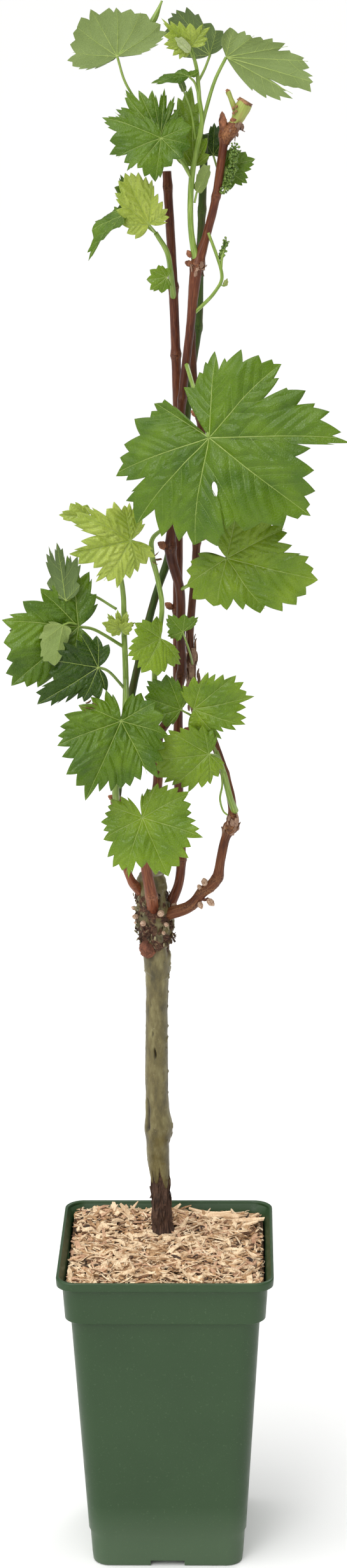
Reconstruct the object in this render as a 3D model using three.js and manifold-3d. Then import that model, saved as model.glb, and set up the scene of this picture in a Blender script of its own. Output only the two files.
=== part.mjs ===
// A young grapevine in a square nursery pot.
// Millimetres. The origin is the middle of the pot's underside, +Z is up, -Y is the front and +X the right.

import * as THREE from 'three';
import { mergeVertices } from 'three/addons/utils/BufferGeometryUtils.js';
import Module from 'manifold-3d';

const wasm = await Module();
wasm.setup();
const { Manifold, Mesh: SolidMesh } = wasm;

// The clear gap that neighbours keep.
const GAP = 0.35;

// Driving sizes of the pot.
const POT = {
  height: 225.7,
  rimHalf: 75,
  rimHeight: 6.6,
  collarTopHalf: 71,
  collarBottomHalf: 69.4,
  collarHeight: 33,
  bodyTopHalf: 65.6,
  bodyBottomHalf: 54.4,
  bevelHeight: 26,
  wall: 1.7,
  floor: 7.2,
  corner: 13,
  footHeight: 4.5,
  footGap: 24,
  footGapDepth: 27,
  drainHole: 9,
  drainInset: 36,
  slotWidth: 11,
  slotHeight: 5,
  slotDrop: 4.9,
};

const MIX_TOP = 221.2;
const MIX_EDGE_DROP = 4.5;
const TRUNK_FOOT = MIX_TOP + GAP;

// Woody limbs: each row of a path is x, y, z and the radius there.
const TRUNK = {
  sides: 14,
  path: [
    [-3.2, 26.4, TRUNK_FOOT - 6, 11.5],
    [-3.3, 26, TRUNK_FOOT + 1, 8.4],
    [-3.6, 25.4, 229, 7.2],
    [-4.7, 23, 259, 6.3],
    [-6.2, 21, 289, 7.4],
    [-5.6, 20, 303, 9.2],
    [-6.3, 19.6, 319, 7.5],
    [-6.1, 18, 385, 6.9],
    [-5.4, 16, 416, 7.3],
    [-5.2, 15, 434, 8.6],
    [-5.9, 14, 447, 11.4],
    [-6.7, 14, 461, 11.9],
    [-8.4, 14, 475, 10.4],
    [-9.1, 15, 487, 8.8],
    [-9.1, 15, 491.5, 6],
  ],
};
const FRONT_CANE_LOW = {
  sides: 8,
  path: [
    [-7.6, 8, 467, 4.6],
    [-8.2, -1, 479, 4],
    [-11.7, -8, 509, 3.7],
    [-6.8, -6, 535, 3.5],
    [-3.1, -4, 564, 3.3],
    [-2, -2, 594, 3.2],
  ],
};
const FRONT_CANE_MIDDLE = {
  sides: 8,
  path: [
    [-2.6, -2, 591, 3.2],
    [4.5, -2, 606, 3.1],
    [13.3, -3, 636.5, 3],
    [13.1, -4, 663, 3],
    [12.9, -6, 694.5, 3],
    [6.8, -8, 721, 3.6],
    [9.5, -6, 750, 2.9],
  ],
};
const FRONT_CANE_HIGH = {
  sides: 8,
  path: [
    [9.3, -6, 747, 2.9],
    [15.1, -5, 822, 2.8],
    [20.8, -4, 870, 2.8],
    [25.4, -4, 909, 4.1],
    [31.5, -4, 928.5, 2.8],
    [37.3, -4, 950.5, 2.7],
    [43.4, -4, 990, 2.7],
    [43.3, -4, 998, 4],
    [43, -4, 1006, 2.4],
  ],
};
const TOP_STUB = {
  sides: 8,
  path: [
    [44, -4, 998, 4.6],
    [49.5, -4, 1003, 5.3],
    [57.5, -4, 1010.5, 5.2],
  ],
};
const RIGHT_ARM = {
  sides: 10,
  path: [
    [-3, 12, 461, 4.8],
    [4.5, 8, 465, 4.2],
    [16.6, 4, 470.5, 3.8],
    [27.4, 1, 483, 3.5],
    [36.2, -1, 492, 3.7],
    [39.3, -2, 507, 3.2],
    [42.6, -2, 522, 3.2],
    [46.2, -2, 530, 4.6],
    [48.4, -2, 536.5, 3.4],
  ],
};
const RIGHT_CANE_LOW = {
  sides: 8,
  path: [
    [48, -2, 533.5, 3.1],
    [46.4, 0, 549.5, 2.9],
    [42.2, 4, 565.5, 2.8],
    [31, 8, 598.5, 2.7],
    [20.8, 10, 629, 2.6],
    [20, 10, 636, 2.6],
  ],
};
const RIGHT_CANE_HIGH = {
  sides: 8,
  path: [
    [20.3, 10, 633, 2.6],
    [18.8, 10, 661, 2.7],
    [20.8, 10, 684, 2.6],
    [24, 10, 725, 2.6],
    [27.6, 10, 798, 2.6],
    [22.8, 10, 829, 2.6],
    [20.9, 11, 872, 2.5],
  ],
};
const TALL_CANE = {
  sides: 8,
  path: [
    [-2, 16, 460, 4],
    [4.6, 18.5, 470, 3.7],
    [10.6, 20, 486, 3.3],
    [10.4, 20, 556, 3.2],
    [10.4, 21, 657, 3.2],
    [11.8, 21, 787, 3.1],
    [9.3, 20, 893, 3],
    [5.7, 20, 968, 2.9],
  ],
};
const LEFT_ARM = {
  sides: 8,
  path: [
    [-12, 12, 474, 3.4],
    [-18.6, 8, 483, 3],
    [-24.4, 2, 496, 2.7],
    [-30.4, 0, 529, 2.6],
    [-31.5, 0, 546, 3.6],
    [-31.6, 0.5, 551, 3],
  ],
};
const GREEN_CANE_LOW = {
  sides: 8,
  path: [
    [-31.7, 2, 547, 2.8],
    [-27.5, 8, 580.5, 2.7],
    [-21.6, 13, 616, 2.6],
    [-5.2, 24, 682, 2.6],
    [4.8, 31, 712, 2.6],
  ],
};
const GREEN_CANE_HIGH = {
  sides: 8,
  path: [
    [4.1, 30.6, 709.5, 2.6],
    [14.5, 31.5, 778, 2.6],
    [20.4, 29, 832.5, 2.5],
    [25.6, 24, 866.5, 2.5],
    [27.2, 15, 916.5, 2.5],
    [28.6, 12, 943.5, 2.5],
    [30.6, 11, 992, 2.5],
  ],
};

// Masses of foliage. A stem or a leaf stalk is a path of x, y, z and radius.
// A leaf lies at the end of its stalk: size is its middle vein, aim turns it in the front view
// (0 is right, 90 is up), lean tips its point to the front, roll turns it about its middle vein, and
// fold is the angle that its halves rise by. Each lobe is the angle of its vein from the middle one
// and its length as a share of the middle one.
const FOLIAGE = {
  foliage_top: {
    clear: ['front_cane_high', 'green_cane_high', 'tall_cane', 'top_stub'],
    stems: [
      [[25.4, -4, 909, 2.4], [21.7, -8, 933, 1.9], [22.3, -10, 966, 1.9], [25.3, -10, 982, 1.6],
        [29.1, -10, 1002, 1.6], [27.4, -10, 1016, 1.4], [26, -10, 1034, 1.2], [22.5, -13.5, 1048, 1]],
      [[24.5, -9.5, 963, 1.5], [27, -7, 972, 3.4], [29, -6, 980, 0.9]],
      [[-24, -3.5, 1043, 1], [-9, 3, 1056, 1.6], [-1.5, 5.5, 1065, 2], [3.8, 6, 1076.5, 0.7]],
    ],
    leaves: [
      {
        at: [-24.9, -4, 1042.2], size: 34.3, aim: 120, lean: -25, roll: 180, fold: 8,
        left: [[38, 0.9], [93, 1.02]],
        right: [[24, 1.11], [41, 0.98], [63, 0.96]],
        stalk: [[-19.7, 1, 1025], [-5.4, 3, 1003.5], [12, -5, 982], [22.3, -10, 967]],
      },
      {
        at: [44.6, 2, 1041.1], size: 60.7, aim: 345, lean: 12, roll: 180, fold: 6,
        left: [[15, 0.82]],
        right: [[16, 0.85], [28, 0.68], [50, 0.4], [99, 0.32]],
        stalk: [[37.6, 1, 1027], [31, -6, 1006], [29.1, -10, 999]],
      },
      {
        at: [34.3, 12, 1042.2], size: 37.8, aim: 130, lean: -10, roll: 150, fold: 8,
        left: [[19, 0.91], [41, 0.77], [70, 0.49]],
        right: [[24, 0.77], [53, 0.45]],
        stalk: [[31, 4, 1034], [26.6, -8, 1026]],
      },
      {
        at: [22.5, -14, 1048.2], size: 25.2, aim: 136, lean: 15, roll: 0, fold: 10,
        left: [[27, 0.72], [66, 0.56]],
        right: [[40, 0.65], [92, 0.58], [150, 0.46]],
        stalk: [[22.6, -12, 1046]],
      },
      {
        at: [21.2, -18, 1030.1], size: 25.2, aim: 182, lean: 20, roll: 0, fold: 6,
        left: [[24, 0.6]],
        right: [[18, 0.75], [48, 0.41], [149, 0.39]],
        stalk: [[24.7, -13, 1026], [27, -10, 1018]],
      },
      {
        at: [5, -30, 992.9], size: 32.7, aim: 225, lean: 25, roll: 0, fold: 6,
        left: [[27, 0.8], [58, 0.62], [106, 0.62], [160, 0.65]],
        right: [[29, 1.07], [47, 1.04], [68, 0.8], [111, 0.54]],
        stalk: [[14.4, -24, 979.6], [22.3, -10, 965]],
      },
      {
        at: [-2.4, -8, 998], size: 31.5, aim: 166, lean: 5, roll: 0, fold: 6,
        left: [[27, 0.83], [65, 0.75]],
        right: [[14, 0.82], [42, 0.96], [56, 0.85], [78, 0.85], [98, 0.79]],
        stalk: [[11.6, -8, 987], [22.3, -10, 967]],
      },
      {
        at: [20.8, -5, 986], size: 41, aim: 94, lean: -3, roll: 25, fold: 12,
        left: [[14, 0.62], [40, 0.4], [90, 0.22]],
        right: [[12, 0.66], [26, 0.62], [50, 0.4], [95, 0.25]],
        stalk: [[22.3, -9, 967]],
      },
    ],
  },
  foliage_top_left: {
    clear: ['tall_cane', 'right_cane_high', 'front_cane_high'],
    stems: [
      [[9.4, 19, 886, 2], [7.9, 8, 905, 1.8], [6, 2, 917, 1.7], [-1.2, -5, 930.5, 1.5]],
    ],
    leaves: [
      {
        at: [-5.4, -14, 936.9], size: 35.3, aim: 115, lean: 5, roll: 0, fold: 14,
        left: [[24, 0.72], [61, 0.5], [110, 0.35]],
        right: [[13, 0.95], [29, 0.81], [50, 0.48], [95, 0.4]],
        stalk: [[-1.2, -5, 930.5]],
      },
      {
        at: [-22.9, -4, 941.8], size: 35.6, aim: 220, lean: 10, roll: 70, fold: 14,
        left: [[30, 0.66], [77, 0.5]],
        right: [[30, 0.66], [80, 0.45]],
        stalk: [[-9.6, -2, 936], [-1.2, -5, 930.5]],
      },
      {
        at: [-18, 3, 944], size: 24, aim: 98, lean: -5, roll: 50, fold: 16,
        left: [[32, 0.8], [80, 0.6]],
        right: [[30, 0.8], [80, 0.6]],
        stalk: [[-9.6, -2, 936]],
      },
      {
        at: [5.7, -4, 901.8], size: 13.1, aim: 186, lean: 10, roll: 0, fold: 8,
        left: [[30, 1.04], [65, 0.82], [98, 0.6]],
        right: [[31, 0.92], [62, 0.75], [115, 0.5]],
        stalk: [[7.5, 6, 907]],
      },
    ],
  },
  foliage_top_right: {
    clear: ['front_cane_high', 'green_cane_high', 'top_stub'],
    stems: [
      [[38.2, -4, 954.5, 1.7], [42, 2.5, 963, 1.4], [44, 2, 972, 1.2]],
      [[42, 2.5, 963, 1], [47, -3, 970, 1.8], [49.5, -5, 979, 2.4], [51.5, -4, 987, 0.9]],
      [[42, 2.5, 962, 1], [45, -4, 960, 2], [44.5, -5, 954, 1]],
    ],
    leaves: [
      {
        at: [43.1, 4, 971.7], size: 20.7, aim: 14, lean: 10, roll: 0, fold: 8,
        left: [[21, 0.82], [58, 0.6]],
        right: [[49, 0.88], [89, 0.73], [113, 0.56]],
        stalk: [[42, 2.5, 964]],
      },
      {
        at: [36, 20, 978], size: 21, aim: 88, lean: -5, roll: 0, fold: 8,
        left: [[30, 0.7], [80, 0.5]],
        right: [[30, 0.75], [80, 0.5]],
        stalk: [[40, 12, 966], [42, 2.5, 962]],
      },
    ],
  },
  flower_shoot: {
    clear: ['front_cane_high', 'green_cane_high'],
    stems: [
      [[24.6, -4, 893, 1.5], [34, -8, 886.5, 1.4], [41.6, -9, 896, 1.3], [41.8, -9, 904, 1.2],
        [37.8, -9, 918, 1.2], [32.6, -10, 930, 1]],
      [[41, -9, 908, 0.9], [42, -10, 919, 2.2], [43.6, -10, 925, 2.4], [44, -10, 931, 0.8]],
    ],
    leaves: [],
  },
  foliage_great: {
    clear: ['front_cane_high', 'front_cane_middle', 'right_cane_high'],
    stems: [],
    leaves: [
      {
        at: [33.3, -58, 805.2], size: 79.9, aim: 323, lean: 22, roll: 0, fold: 5,
        left: [[37, 1.11], [83, 0.81], [109, 0.75], [126, 0.69], [157, 0.48]],
        right: [[53, 0.81], [83, 0.92], [112, 0.86], [121, 0.85], [158, 0.69], [175, 0.58]],
        stalk: [[28.1, -50, 819.6], [22, -26, 836], [17.9, -4.6, 846]],
      },
    ],
  },
  foliage_right: {
    clear: ['front_cane_middle', 'right_cane_high'],
    stems: [],
    leaves: [
      {
        at: [44.1, -34, 722], size: 61.4, aim: 348, lean: 18, roll: 0, fold: 6,
        left: [[44, 0.71], [71, 0.6], [106, 0.55]],
        right: [[38, 0.73], [97, 0.56], [129, 0.52], [154, 0.46]],
        stalk: [[21.8, -20, 703], [12.9, -6, 695]],
      },
    ],
  },
  foliage_centre: {
    clear: ['front_cane_middle', 'front_cane_low', 'right_cane_high', 'green_cane_low'],
    stems: [
      [[3, -2.2, 603, 1.9], [-3.6, -8, 622, 1.8], [-4.5, -9, 641, 1.8], [-1.6, -13, 664, 1.7],
        [1, -15.5, 686, 1.7], [-1.6, -17, 704, 1.7], [-5.6, -17, 723, 1.9], [-4.7, -17, 732, 1.5],
        [4.6, -17, 740, 1]],
    ],
    leaves: [
      {
        at: [-18.5, -36, 734.4], size: 41.1, aim: 191, lean: 15, roll: 0, fold: 6,
        left: [[12, 0.91], [40, 0.84], [60, 0.67], [97, 0.52], [122, 0.45]],
        right: [[39, 0.91], [84, 0.62], [116, 0.49]],
        stalk: [[-12, -29, 730], [-5.6, -17, 722]],
      },
      {
        at: [0, -27, 666.8], size: 24.8, aim: 205, lean: 28, roll: 0, fold: 6,
        left: [[34, 1.05], [58, 1.01], [104, 0.95]],
        right: [[58, 0.82], [110, 0.6]],
        stalk: [[-1.1, -20, 660], [-2.6, -11, 654]],
      },
    ],
  },
  foliage_centre_small: {
    clear: ['right_cane_high', 'right_cane_low', 'front_cane_middle'],
    stems: [],
    leaves: [
      {
        at: [14.7, -20, 669.5], size: 15.1, aim: 130, lean: 10, roll: 0, fold: 6,
        left: [[66, 0.7], [110, 0.5]],
        right: [[46, 0.8], [87, 0.96]],
        stalk: [[18.5, -12, 656], [20.4, 0, 645], [20.6, 10, 640]],
      },
    ],
  },
  foliage_left: {
    clear: ['left_arm', 'green_cane_low', 'front_cane_low'],
    stems: [
      [[-31.6, -0.5, 547, 2.5], [-31.6, -8, 559, 2.4], [-24.3, -10, 616, 2.1], [-24.6, -10, 664, 1.9],
        [-26.7, -10, 704.5, 1.7], [-46.6, -14, 746.5, 1.2]],
    ],
    leaves: [
      {
        at: [-46.6, -14, 746.5], size: 20, aim: 178, lean: 5, roll: 0, fold: 10,
        left: [[32, 0.5], [80, 0.3]],
        right: [[34, 0.75], [80, 0.4]],
        stalk: [[-45, -13.6, 743]],
      },
      {
        at: [-54.1, -26, 674.5], size: 58.6, aim: 220, lean: 20, roll: 0, fold: 6,
        left: [[15, 0.82], [40, 0.6], [75, 0.45]],
        right: [[21, 0.89], [48, 0.88], [86, 0.61], [131, 0.7], [150, 0.62]],
        stalk: [[-44.6, -18, 671], [-24.6, -10, 657]],
      },
      {
        at: [-40.8, -40, 650.1], size: 46.6, aim: 210, lean: 18, roll: 0, fold: 6,
        left: [[16, 0.76], [47, 0.45], [80, 0.35]],
        right: [[40, 0.73], [66, 0.65], [94, 0.52], [148, 0.33]],
        stalk: [[-35, -32, 646], [-24.4, -10, 628]],
      },
      {
        at: [-46.9, -2, 690], size: 42.1, aim: 134, lean: -5, roll: 40, fold: 12,
        left: [[39, 0.76], [85, 0.6]],
        right: [[16, 0.98], [45, 0.8], [90, 0.6]],
        stalk: [[-32, -4, 680], [-25.4, -10, 672]],
      },
      {
        at: [-26.4, -18, 670.5], size: 14.8, aim: 99, lean: 5, roll: 0, fold: 10,
        left: [[30, 1.08], [68, 0.82]],
        right: [[23, 0.8], [78, 0.7]],
        stalk: [[-24.6, -10, 664]],
      },
      {
        at: [-25.7, -50, 616.1], size: 57.1, aim: 245, lean: 22, roll: 0, fold: 5,
        left: [[24, 0.75], [56, 0.78], [95, 0.56], [143, 0.47], [180, 0.35]],
        right: [[43, 0.78], [58, 0.7], [80, 0.55], [122, 0.42]],
        stalk: [[-23.1, -40, 625], [-24.2, -10, 636]],
      },
    ],
  },
  foliage_low: {
    clear: ['front_cane_low', 'left_arm', 'tall_cane'],
    stems: [],
    leaves: [
      {
        at: [-12.4, -46, 548.7], size: 42.1, aim: 294, lean: 22, roll: 0, fold: 5,
        left: [[26, 0.96], [47, 1.02], [82, 0.8], [97, 0.84], [134, 0.57]],
        right: [[37, 0.9], [64, 0.76], [95, 0.67], [124, 0.6], [142, 0.61]],
        stalk: [[-12.5, -38, 556.6], [-9, -20, 560], [-4.4, -4.6, 553]],
      },
    ],
  },
  foliage_low_right: {
    clear: ['right_cane_low', 'right_arm', 'front_cane_low', 'front_cane_middle', 'tall_cane'],
    stems: [
      [[48.9, -2, 541, 2.6], [45.6, -11, 553, 2.2], [42, -14, 569, 2], [36.5, -14.5, 586, 1.7]],
      [[40, -14, 572, 0.8], [40.5, -16, 563, 0.7], [39, -16, 553, 0.7], [41.5, -15, 544, 0.6],
        [44, -14, 541.5, 0.6]],
    ],
    leaves: [
      {
        at: [13.1, -22, 616.9], size: 25.5, aim: 160, lean: 10, roll: 0, fold: 6,
        left: [[32, 0.9], [68, 0.6]],
        right: [[22, 1.17], [49, 1.01], [90, 0.6]],
        stalk: [[24, -16, 608], [36.5, -14.5, 586]],
      },
      {
        at: [21.7, -27, 618.4], size: 40.6, aim: 12, lean: 12, roll: 0, fold: 6,
        left: [[33, 0.84], [56, 0.68], [100, 0.45]],
        right: [[32, 0.83], [58, 0.7], [100, 0.45]],
        stalk: [[29.6, -20, 602], [37.5, -14.5, 584]],
      },
      {
        at: [31.8, -32, 588.6], size: 37.4, aim: 184, lean: 14, roll: 0, fold: 6,
        left: [[29, 0.92], [56, 0.78], [88, 0.55], [130, 0.4]],
        right: [[36, 0.84], [62, 0.68], [105, 0.45]],
        stalk: [[38, -25, 585], [42, -14, 570]],
      },
    ],
  },
};

// Turns positions and triangles into a closed solid.
function solidOf(positions, triangles) {
  return new Manifold(new SolidMesh({
    numProp: 3,
    vertProperties: new Float32Array(positions.flat()),
    triVerts: new Uint32Array(triangles.flat()),
  }));
}

// A limb of round section along a smooth path, with flat ends.
// grow makes the same limb fatter, to clear its neighbours.
function limb(path, sides, grow = 0) {
  const points = path.map(([x, y, z]) => new THREE.Vector3(x, y, z));
  const curve = new THREE.CatmullRomCurve3(points, false, 'centripetal');
  const stepsPerSpan = 2;
  const steps = (path.length - 1) * stepsPerSpan;
  const positions = [];
  let side = new THREE.Vector3(1, 0, 0);
  for (let i = 0; i <= steps; i++) {
    const u = i / steps;
    const centre = curve.getPoint(u);
    const along = curve.getTangent(u);
    if (i === 0 || i === steps) {
      const foot = path[i === 0 ? 0 : path.length - 1];
      centre.set(foot[0], foot[1], foot[2]);
      centre.addScaledVector(along, i === 0 ? -grow : grow);
    }
    side = side.clone().addScaledVector(along, -side.dot(along)).normalize();
    const up = new THREE.Vector3().crossVectors(along, side);
    const span = Math.min(path.length - 2, Math.floor(i / stepsPerSpan));
    const radius = THREE.MathUtils.lerp(path[span][3], path[span + 1][3], i / stepsPerSpan - span) + grow;
    for (let k = 0; k < sides; k++) {
      const angle = (2 * Math.PI * k) / sides;
      const rim = centre.clone();
      rim.addScaledVector(side, radius * Math.cos(angle));
      rim.addScaledVector(up, radius * Math.sin(angle));
      positions.push(rim.toArray());
    }
  }
  const triangles = [];
  for (let i = 0; i < steps; i++) {
    for (let k = 0; k < sides; k++) {
      const a = i * sides + k;
      const b = i * sides + ((k + 1) % sides);
      triangles.push([a, b, b + sides], [a, b + sides, a + sides]);
    }
  }
  for (let k = 1; k < sides - 1; k++) {
    const last = steps * sides;
    triangles.push([0, k + 1, k], [last, last + k, last + k + 1]);
  }
  return solidOf(positions, triangles);
}

// The rays of a leaf's outline from its right base round its point to its left base:
// each is an angle in degrees and a reach as a share of the middle vein.
function leafRays(leaf) {
  const sinusDepth = 0.3;
  const fullSinusAngle = 50;
  const baseReach = 0.14;
  const lastRight = leaf.right.at(-1)[0];
  const lastLeft = leaf.left.at(-1)[0];
  const room = Math.min(26, (346 - lastRight - lastLeft) / 2);
  const halfRays = (lobes) => {
    const rays = [];
    let previous = [0, 1];
    for (const lobe of lobes) {
      const gap = lobe[0] - previous[0];
      const mean = (lobe[1] + previous[1]) / 2;
      const sinus = mean * (1 - sinusDepth * Math.min(1, gap / fullSinusAngle));
      rays.push([previous[0] + gap * 0.5, sinus]);
      rays.push([previous[0] + gap * 0.78, lobe[1] * 0.7 + sinus * 0.3]);
      rays.push(lobe);
      previous = lobe;
    }
    rays.push([previous[0] + room * 0.5, previous[1] * 0.6]);
    rays.push([previous[0] + room, baseReach]);
    return rays;
  };
  const right = halfRays(leaf.right).map(([angle, reach]) => [-angle, reach]);
  return [...right.reverse(), [0, 1], ...halfRays(leaf.left)];
}

// The three directions of a leaf: along its middle vein, to its left and out of its upper face.
function leafAxes(leaf) {
  const aim = THREE.MathUtils.degToRad(leaf.aim);
  const lean = THREE.MathUtils.degToRad(leaf.lean);
  const along = new THREE.Vector3(
    Math.cos(aim) * Math.cos(lean),
    -Math.sin(lean),
    Math.sin(aim) * Math.cos(lean),
  );
  const face = new THREE.Vector3(0, -1, 0);
  face.addScaledVector(along, -face.dot(along)).normalize();
  face.applyAxisAngle(along, THREE.MathUtils.degToRad(leaf.roll));
  const left = new THREE.Vector3().crossVectors(face, along);
  return { along, left, face };
}

// A leaf blade: a thin plate in the outline of its lobes, folded at its middle vein and cupped.
function blade(leaf) {
  const smallLeaf = 30;
  const ringShares = leaf.size < smallLeaf ? [1] : [0.5, 1];
  const rings = ringShares.length;
  const thickness = Math.max(0.8, leaf.size * 0.02);
  const cup = 0.1;
  const { along, left, face } = leafAxes(leaf);
  const rays = leafRays(leaf);
  const foldRise = Math.tan(THREE.MathUtils.degToRad(leaf.fold));
  const origin = new THREE.Vector3(...leaf.at);
  const point = (angle, reach, offset) => {
    const turn = THREE.MathUtils.degToRad(angle);
    const x = reach * Math.cos(turn);
    const y = reach * Math.sin(turn);
    const rise = foldRise * Math.abs(y) - cup * reach * reach;
    const p = origin.clone();
    p.addScaledVector(along, x * leaf.size);
    p.addScaledVector(left, y * leaf.size);
    p.addScaledVector(face, rise * leaf.size + offset);
    return p.toArray();
  };
  const layer = (offset) => {
    const rows = [point(0, 0, offset)];
    for (const [angle, reach] of rays) {
      for (const share of ringShares) {
        rows.push(point(angle, reach * share, offset));
      }
    }
    return rows;
  };
  const positions = [...layer(thickness / 2), ...layer(-thickness / 2)];
  const under = positions.length / 2;
  const triangles = [];
  const addFace = (a, b, c) => {
    triangles.push([a, b, c], [a + under, c + under, b + under]);
  };
  for (let i = 0; i < rays.length - 1; i++) {
    const inner = 1 + i * rings;
    const next = inner + rings;
    addFace(0, inner, next);
    if (rings > 1) {
      addFace(inner, inner + 1, next + 1);
      addFace(inner, next + 1, next);
    }
  }
  const rim = rays.map((ray, i) => (i + 1) * rings);
  const lastRay = 1 + (rays.length - 1) * rings;
  const edge = rings > 1 ? [0, 1, ...rim, lastRay] : [0, ...rim];
  for (let i = 0; i < edge.length; i++) {
    const a = edge[i];
    const b = edge[(i + 1) % edge.length];
    triangles.push([a, a + under, b + under], [a, b + under, b]);
  }
  return solidOf(positions, triangles);
}

// A leaf's stalk, from just inside the blade to its stem.
function stalk(leaf) {
  const radius = 0.5 + leaf.size * 0.011;
  const path = [leaf.at, ...leaf.stalk].map(([x, y, z], i) => [x, y, z, radius * (1 + 0.08 * i)]);
  return limb(path, 5);
}

// The largest body of a solid: a loose scrap that a cut leaves is dropped.
function largestBody(solid) {
  const bodies = solid.decompose();
  return bodies.reduce((best, body) => (body.volume() > best.volume() ? body : best));
}

// A square ring with round corners at one height.
function squareRing(half, corner, z, cornerSteps = 4) {
  const ring = [];
  for (let quarter = 0; quarter < 4; quarter++) {
    const turn = (quarter * Math.PI) / 2;
    const centreX = half - corner;
    for (let k = 0; k <= cornerSteps; k++) {
      const angle = turn + (k * Math.PI) / (2 * cornerSteps);
      const cx = centreX * (Math.cos(turn) - Math.sin(turn));
      const cy = centreX * (Math.sin(turn) + Math.cos(turn));
      ring.push([cx + corner * Math.cos(angle), cy + corner * Math.sin(angle), z]);
    }
  }
  return ring;
}

// A closed solid through square rings, from the lowest to the highest.
function squareLoft(rings) {
  const loops = rings.map(({ half, corner, z }) => squareRing(half, corner, z));
  const count = loops[0].length;
  const triangles = [];
  for (let i = 0; i < loops.length - 1; i++) {
    for (let k = 0; k < count; k++) {
      const a = i * count + k;
      const b = i * count + ((k + 1) % count);
      triangles.push([a, b, b + count], [a, b + count, a + count]);
    }
  }
  const last = (loops.length - 1) * count;
  for (let k = 1; k < count - 1; k++) {
    triangles.push([0, k + 1, k], [last, last + k, last + k + 1]);
  }
  return solidOf(loops.flat(), triangles);
}

// A plain box as a solid, turned about the pot's upright middle line.
function box([width, depth, height], [x, y, z], turn = 0) {
  const whole = new THREE.BoxGeometry(width, depth, height);
  whole.translate(x, y, z);
  whole.rotateZ(turn);
  whole.deleteAttribute('normal');
  whole.deleteAttribute('uv');
  const merged = mergeVertices(whole);
  return new Manifold(new SolidMesh({
    numProp: 3,
    vertProperties: merged.attributes.position.array,
    triVerts: new Uint32Array(merged.index.array),
  }));
}

const collarFoot = POT.height - POT.collarHeight;
const bodyHalfAt = (z) => THREE.MathUtils.lerp(
  POT.bodyBottomHalf,
  POT.bodyTopHalf,
  (z - POT.footHeight) / (collarFoot - POT.footHeight),
);

// The pot: a thin square shell with a lip, a stepped collar, feet between notches and drain holes.
function makePot() {
  const lipFoot = POT.height - POT.rimHeight;
  const shell = squareLoft([
    { half: bodyHalfAt(0) - 2.5, corner: POT.corner, z: 0 },
    { half: bodyHalfAt(POT.bevelHeight) - 0.6, corner: POT.corner, z: POT.bevelHeight },
    { half: POT.bodyTopHalf, corner: POT.corner, z: collarFoot - 1.5 },
    { half: POT.collarBottomHalf, corner: POT.corner, z: collarFoot },
    { half: POT.collarTopHalf, corner: POT.corner, z: lipFoot - 1.2 },
    { half: POT.rimHalf, corner: POT.corner, z: lipFoot },
    { half: POT.rimHalf, corner: POT.corner, z: POT.height },
  ]);
  const innerCorner = POT.corner - POT.wall;
  const hollow = squareLoft([
    { half: bodyHalfAt(POT.floor) - POT.wall - 2.5, corner: innerCorner, z: POT.floor },
    { half: POT.bodyTopHalf - POT.wall, corner: innerCorner, z: collarFoot },
    { half: POT.collarBottomHalf - POT.wall, corner: innerCorner, z: collarFoot + 1.5 },
    { half: POT.collarTopHalf - POT.wall, corner: innerCorner, z: POT.height + 1 },
  ]);
  let pot = shell.subtract(hollow);
  const notchSize = [POT.footGapDepth * 2, POT.footGap, POT.footHeight * 2];
  const drainSize = [POT.drainHole, POT.drainHole, POT.floor * 3];
  for (let side = 0; side < 4; side++) {
    const turn = (side * Math.PI) / 2;
    pot = pot.subtract(box(notchSize, [POT.bodyBottomHalf, 0, 0], turn));
    pot = pot.subtract(box(drainSize, [POT.drainInset, 0, 0], turn));
  }
  const slotSize = [6, POT.slotWidth, POT.slotHeight];
  for (const turn of [0, Math.PI]) {
    pot = pot.subtract(box(slotSize, [POT.collarTopHalf - 1, 0, lipFoot - POT.slotDrop], turn));
  }
  return pot;
}

// The potting mix: it fills the pot to just under the rim and rises a little to its middle.
function makeMix() {
  const inset = POT.wall + GAP;
  const corner = POT.corner - inset;
  const edge = MIX_TOP - MIX_EDGE_DROP;
  return squareLoft([
    { half: bodyHalfAt(POT.floor) - inset - 2.5, corner, z: POT.floor + GAP },
    { half: POT.bodyTopHalf - inset - 0.1, corner, z: collarFoot },
    { half: POT.collarBottomHalf - inset - 0.3, corner, z: collarFoot + 3 },
    { half: POT.collarTopHalf - inset - 0.6, corner, z: edge },
    { half: 60, corner: 20, z: MIX_TOP - 1.2 },
    { half: 40, corner: 20, z: MIX_TOP },
  ]);
}

// Each limb is cut clear of the limbs that it grows from.
const LIMBS = {
  trunk: { ...TRUNK, clear: [] },
  front_cane_low: { ...FRONT_CANE_LOW, clear: ['trunk'] },
  front_cane_middle: { ...FRONT_CANE_MIDDLE, clear: ['front_cane_low'] },
  front_cane_high: { ...FRONT_CANE_HIGH, clear: ['front_cane_middle'] },
  top_stub: { ...TOP_STUB, clear: ['front_cane_high'] },
  right_arm: { ...RIGHT_ARM, clear: ['trunk'] },
  right_cane_low: { ...RIGHT_CANE_LOW, clear: ['right_arm'] },
  right_cane_high: { ...RIGHT_CANE_HIGH, clear: ['right_cane_low'] },
  tall_cane: { ...TALL_CANE, clear: ['trunk', 'right_arm'] },
  left_arm: { ...LEFT_ARM, clear: ['trunk'] },
  green_cane_low: { ...GREEN_CANE_LOW, clear: ['left_arm'] },
  green_cane_high: { ...GREEN_CANE_HIGH, clear: ['green_cane_low'] },
};

const fatLimb = (name) => limb(LIMBS[name].path, LIMBS[name].sides, GAP);
const clearOf = (solid, names) => names.reduce((rest, name) => rest.subtract(fatLimb(name)), solid);

function makeMass({ stems, leaves, clear }) {
  const parts = [
    ...stems.map((path) => limb(path, 6)),
    ...leaves.map(blade),
    ...leaves.map(stalk),
  ];
  return largestBody(clearOf(Manifold.union(parts), clear));
}

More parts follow.
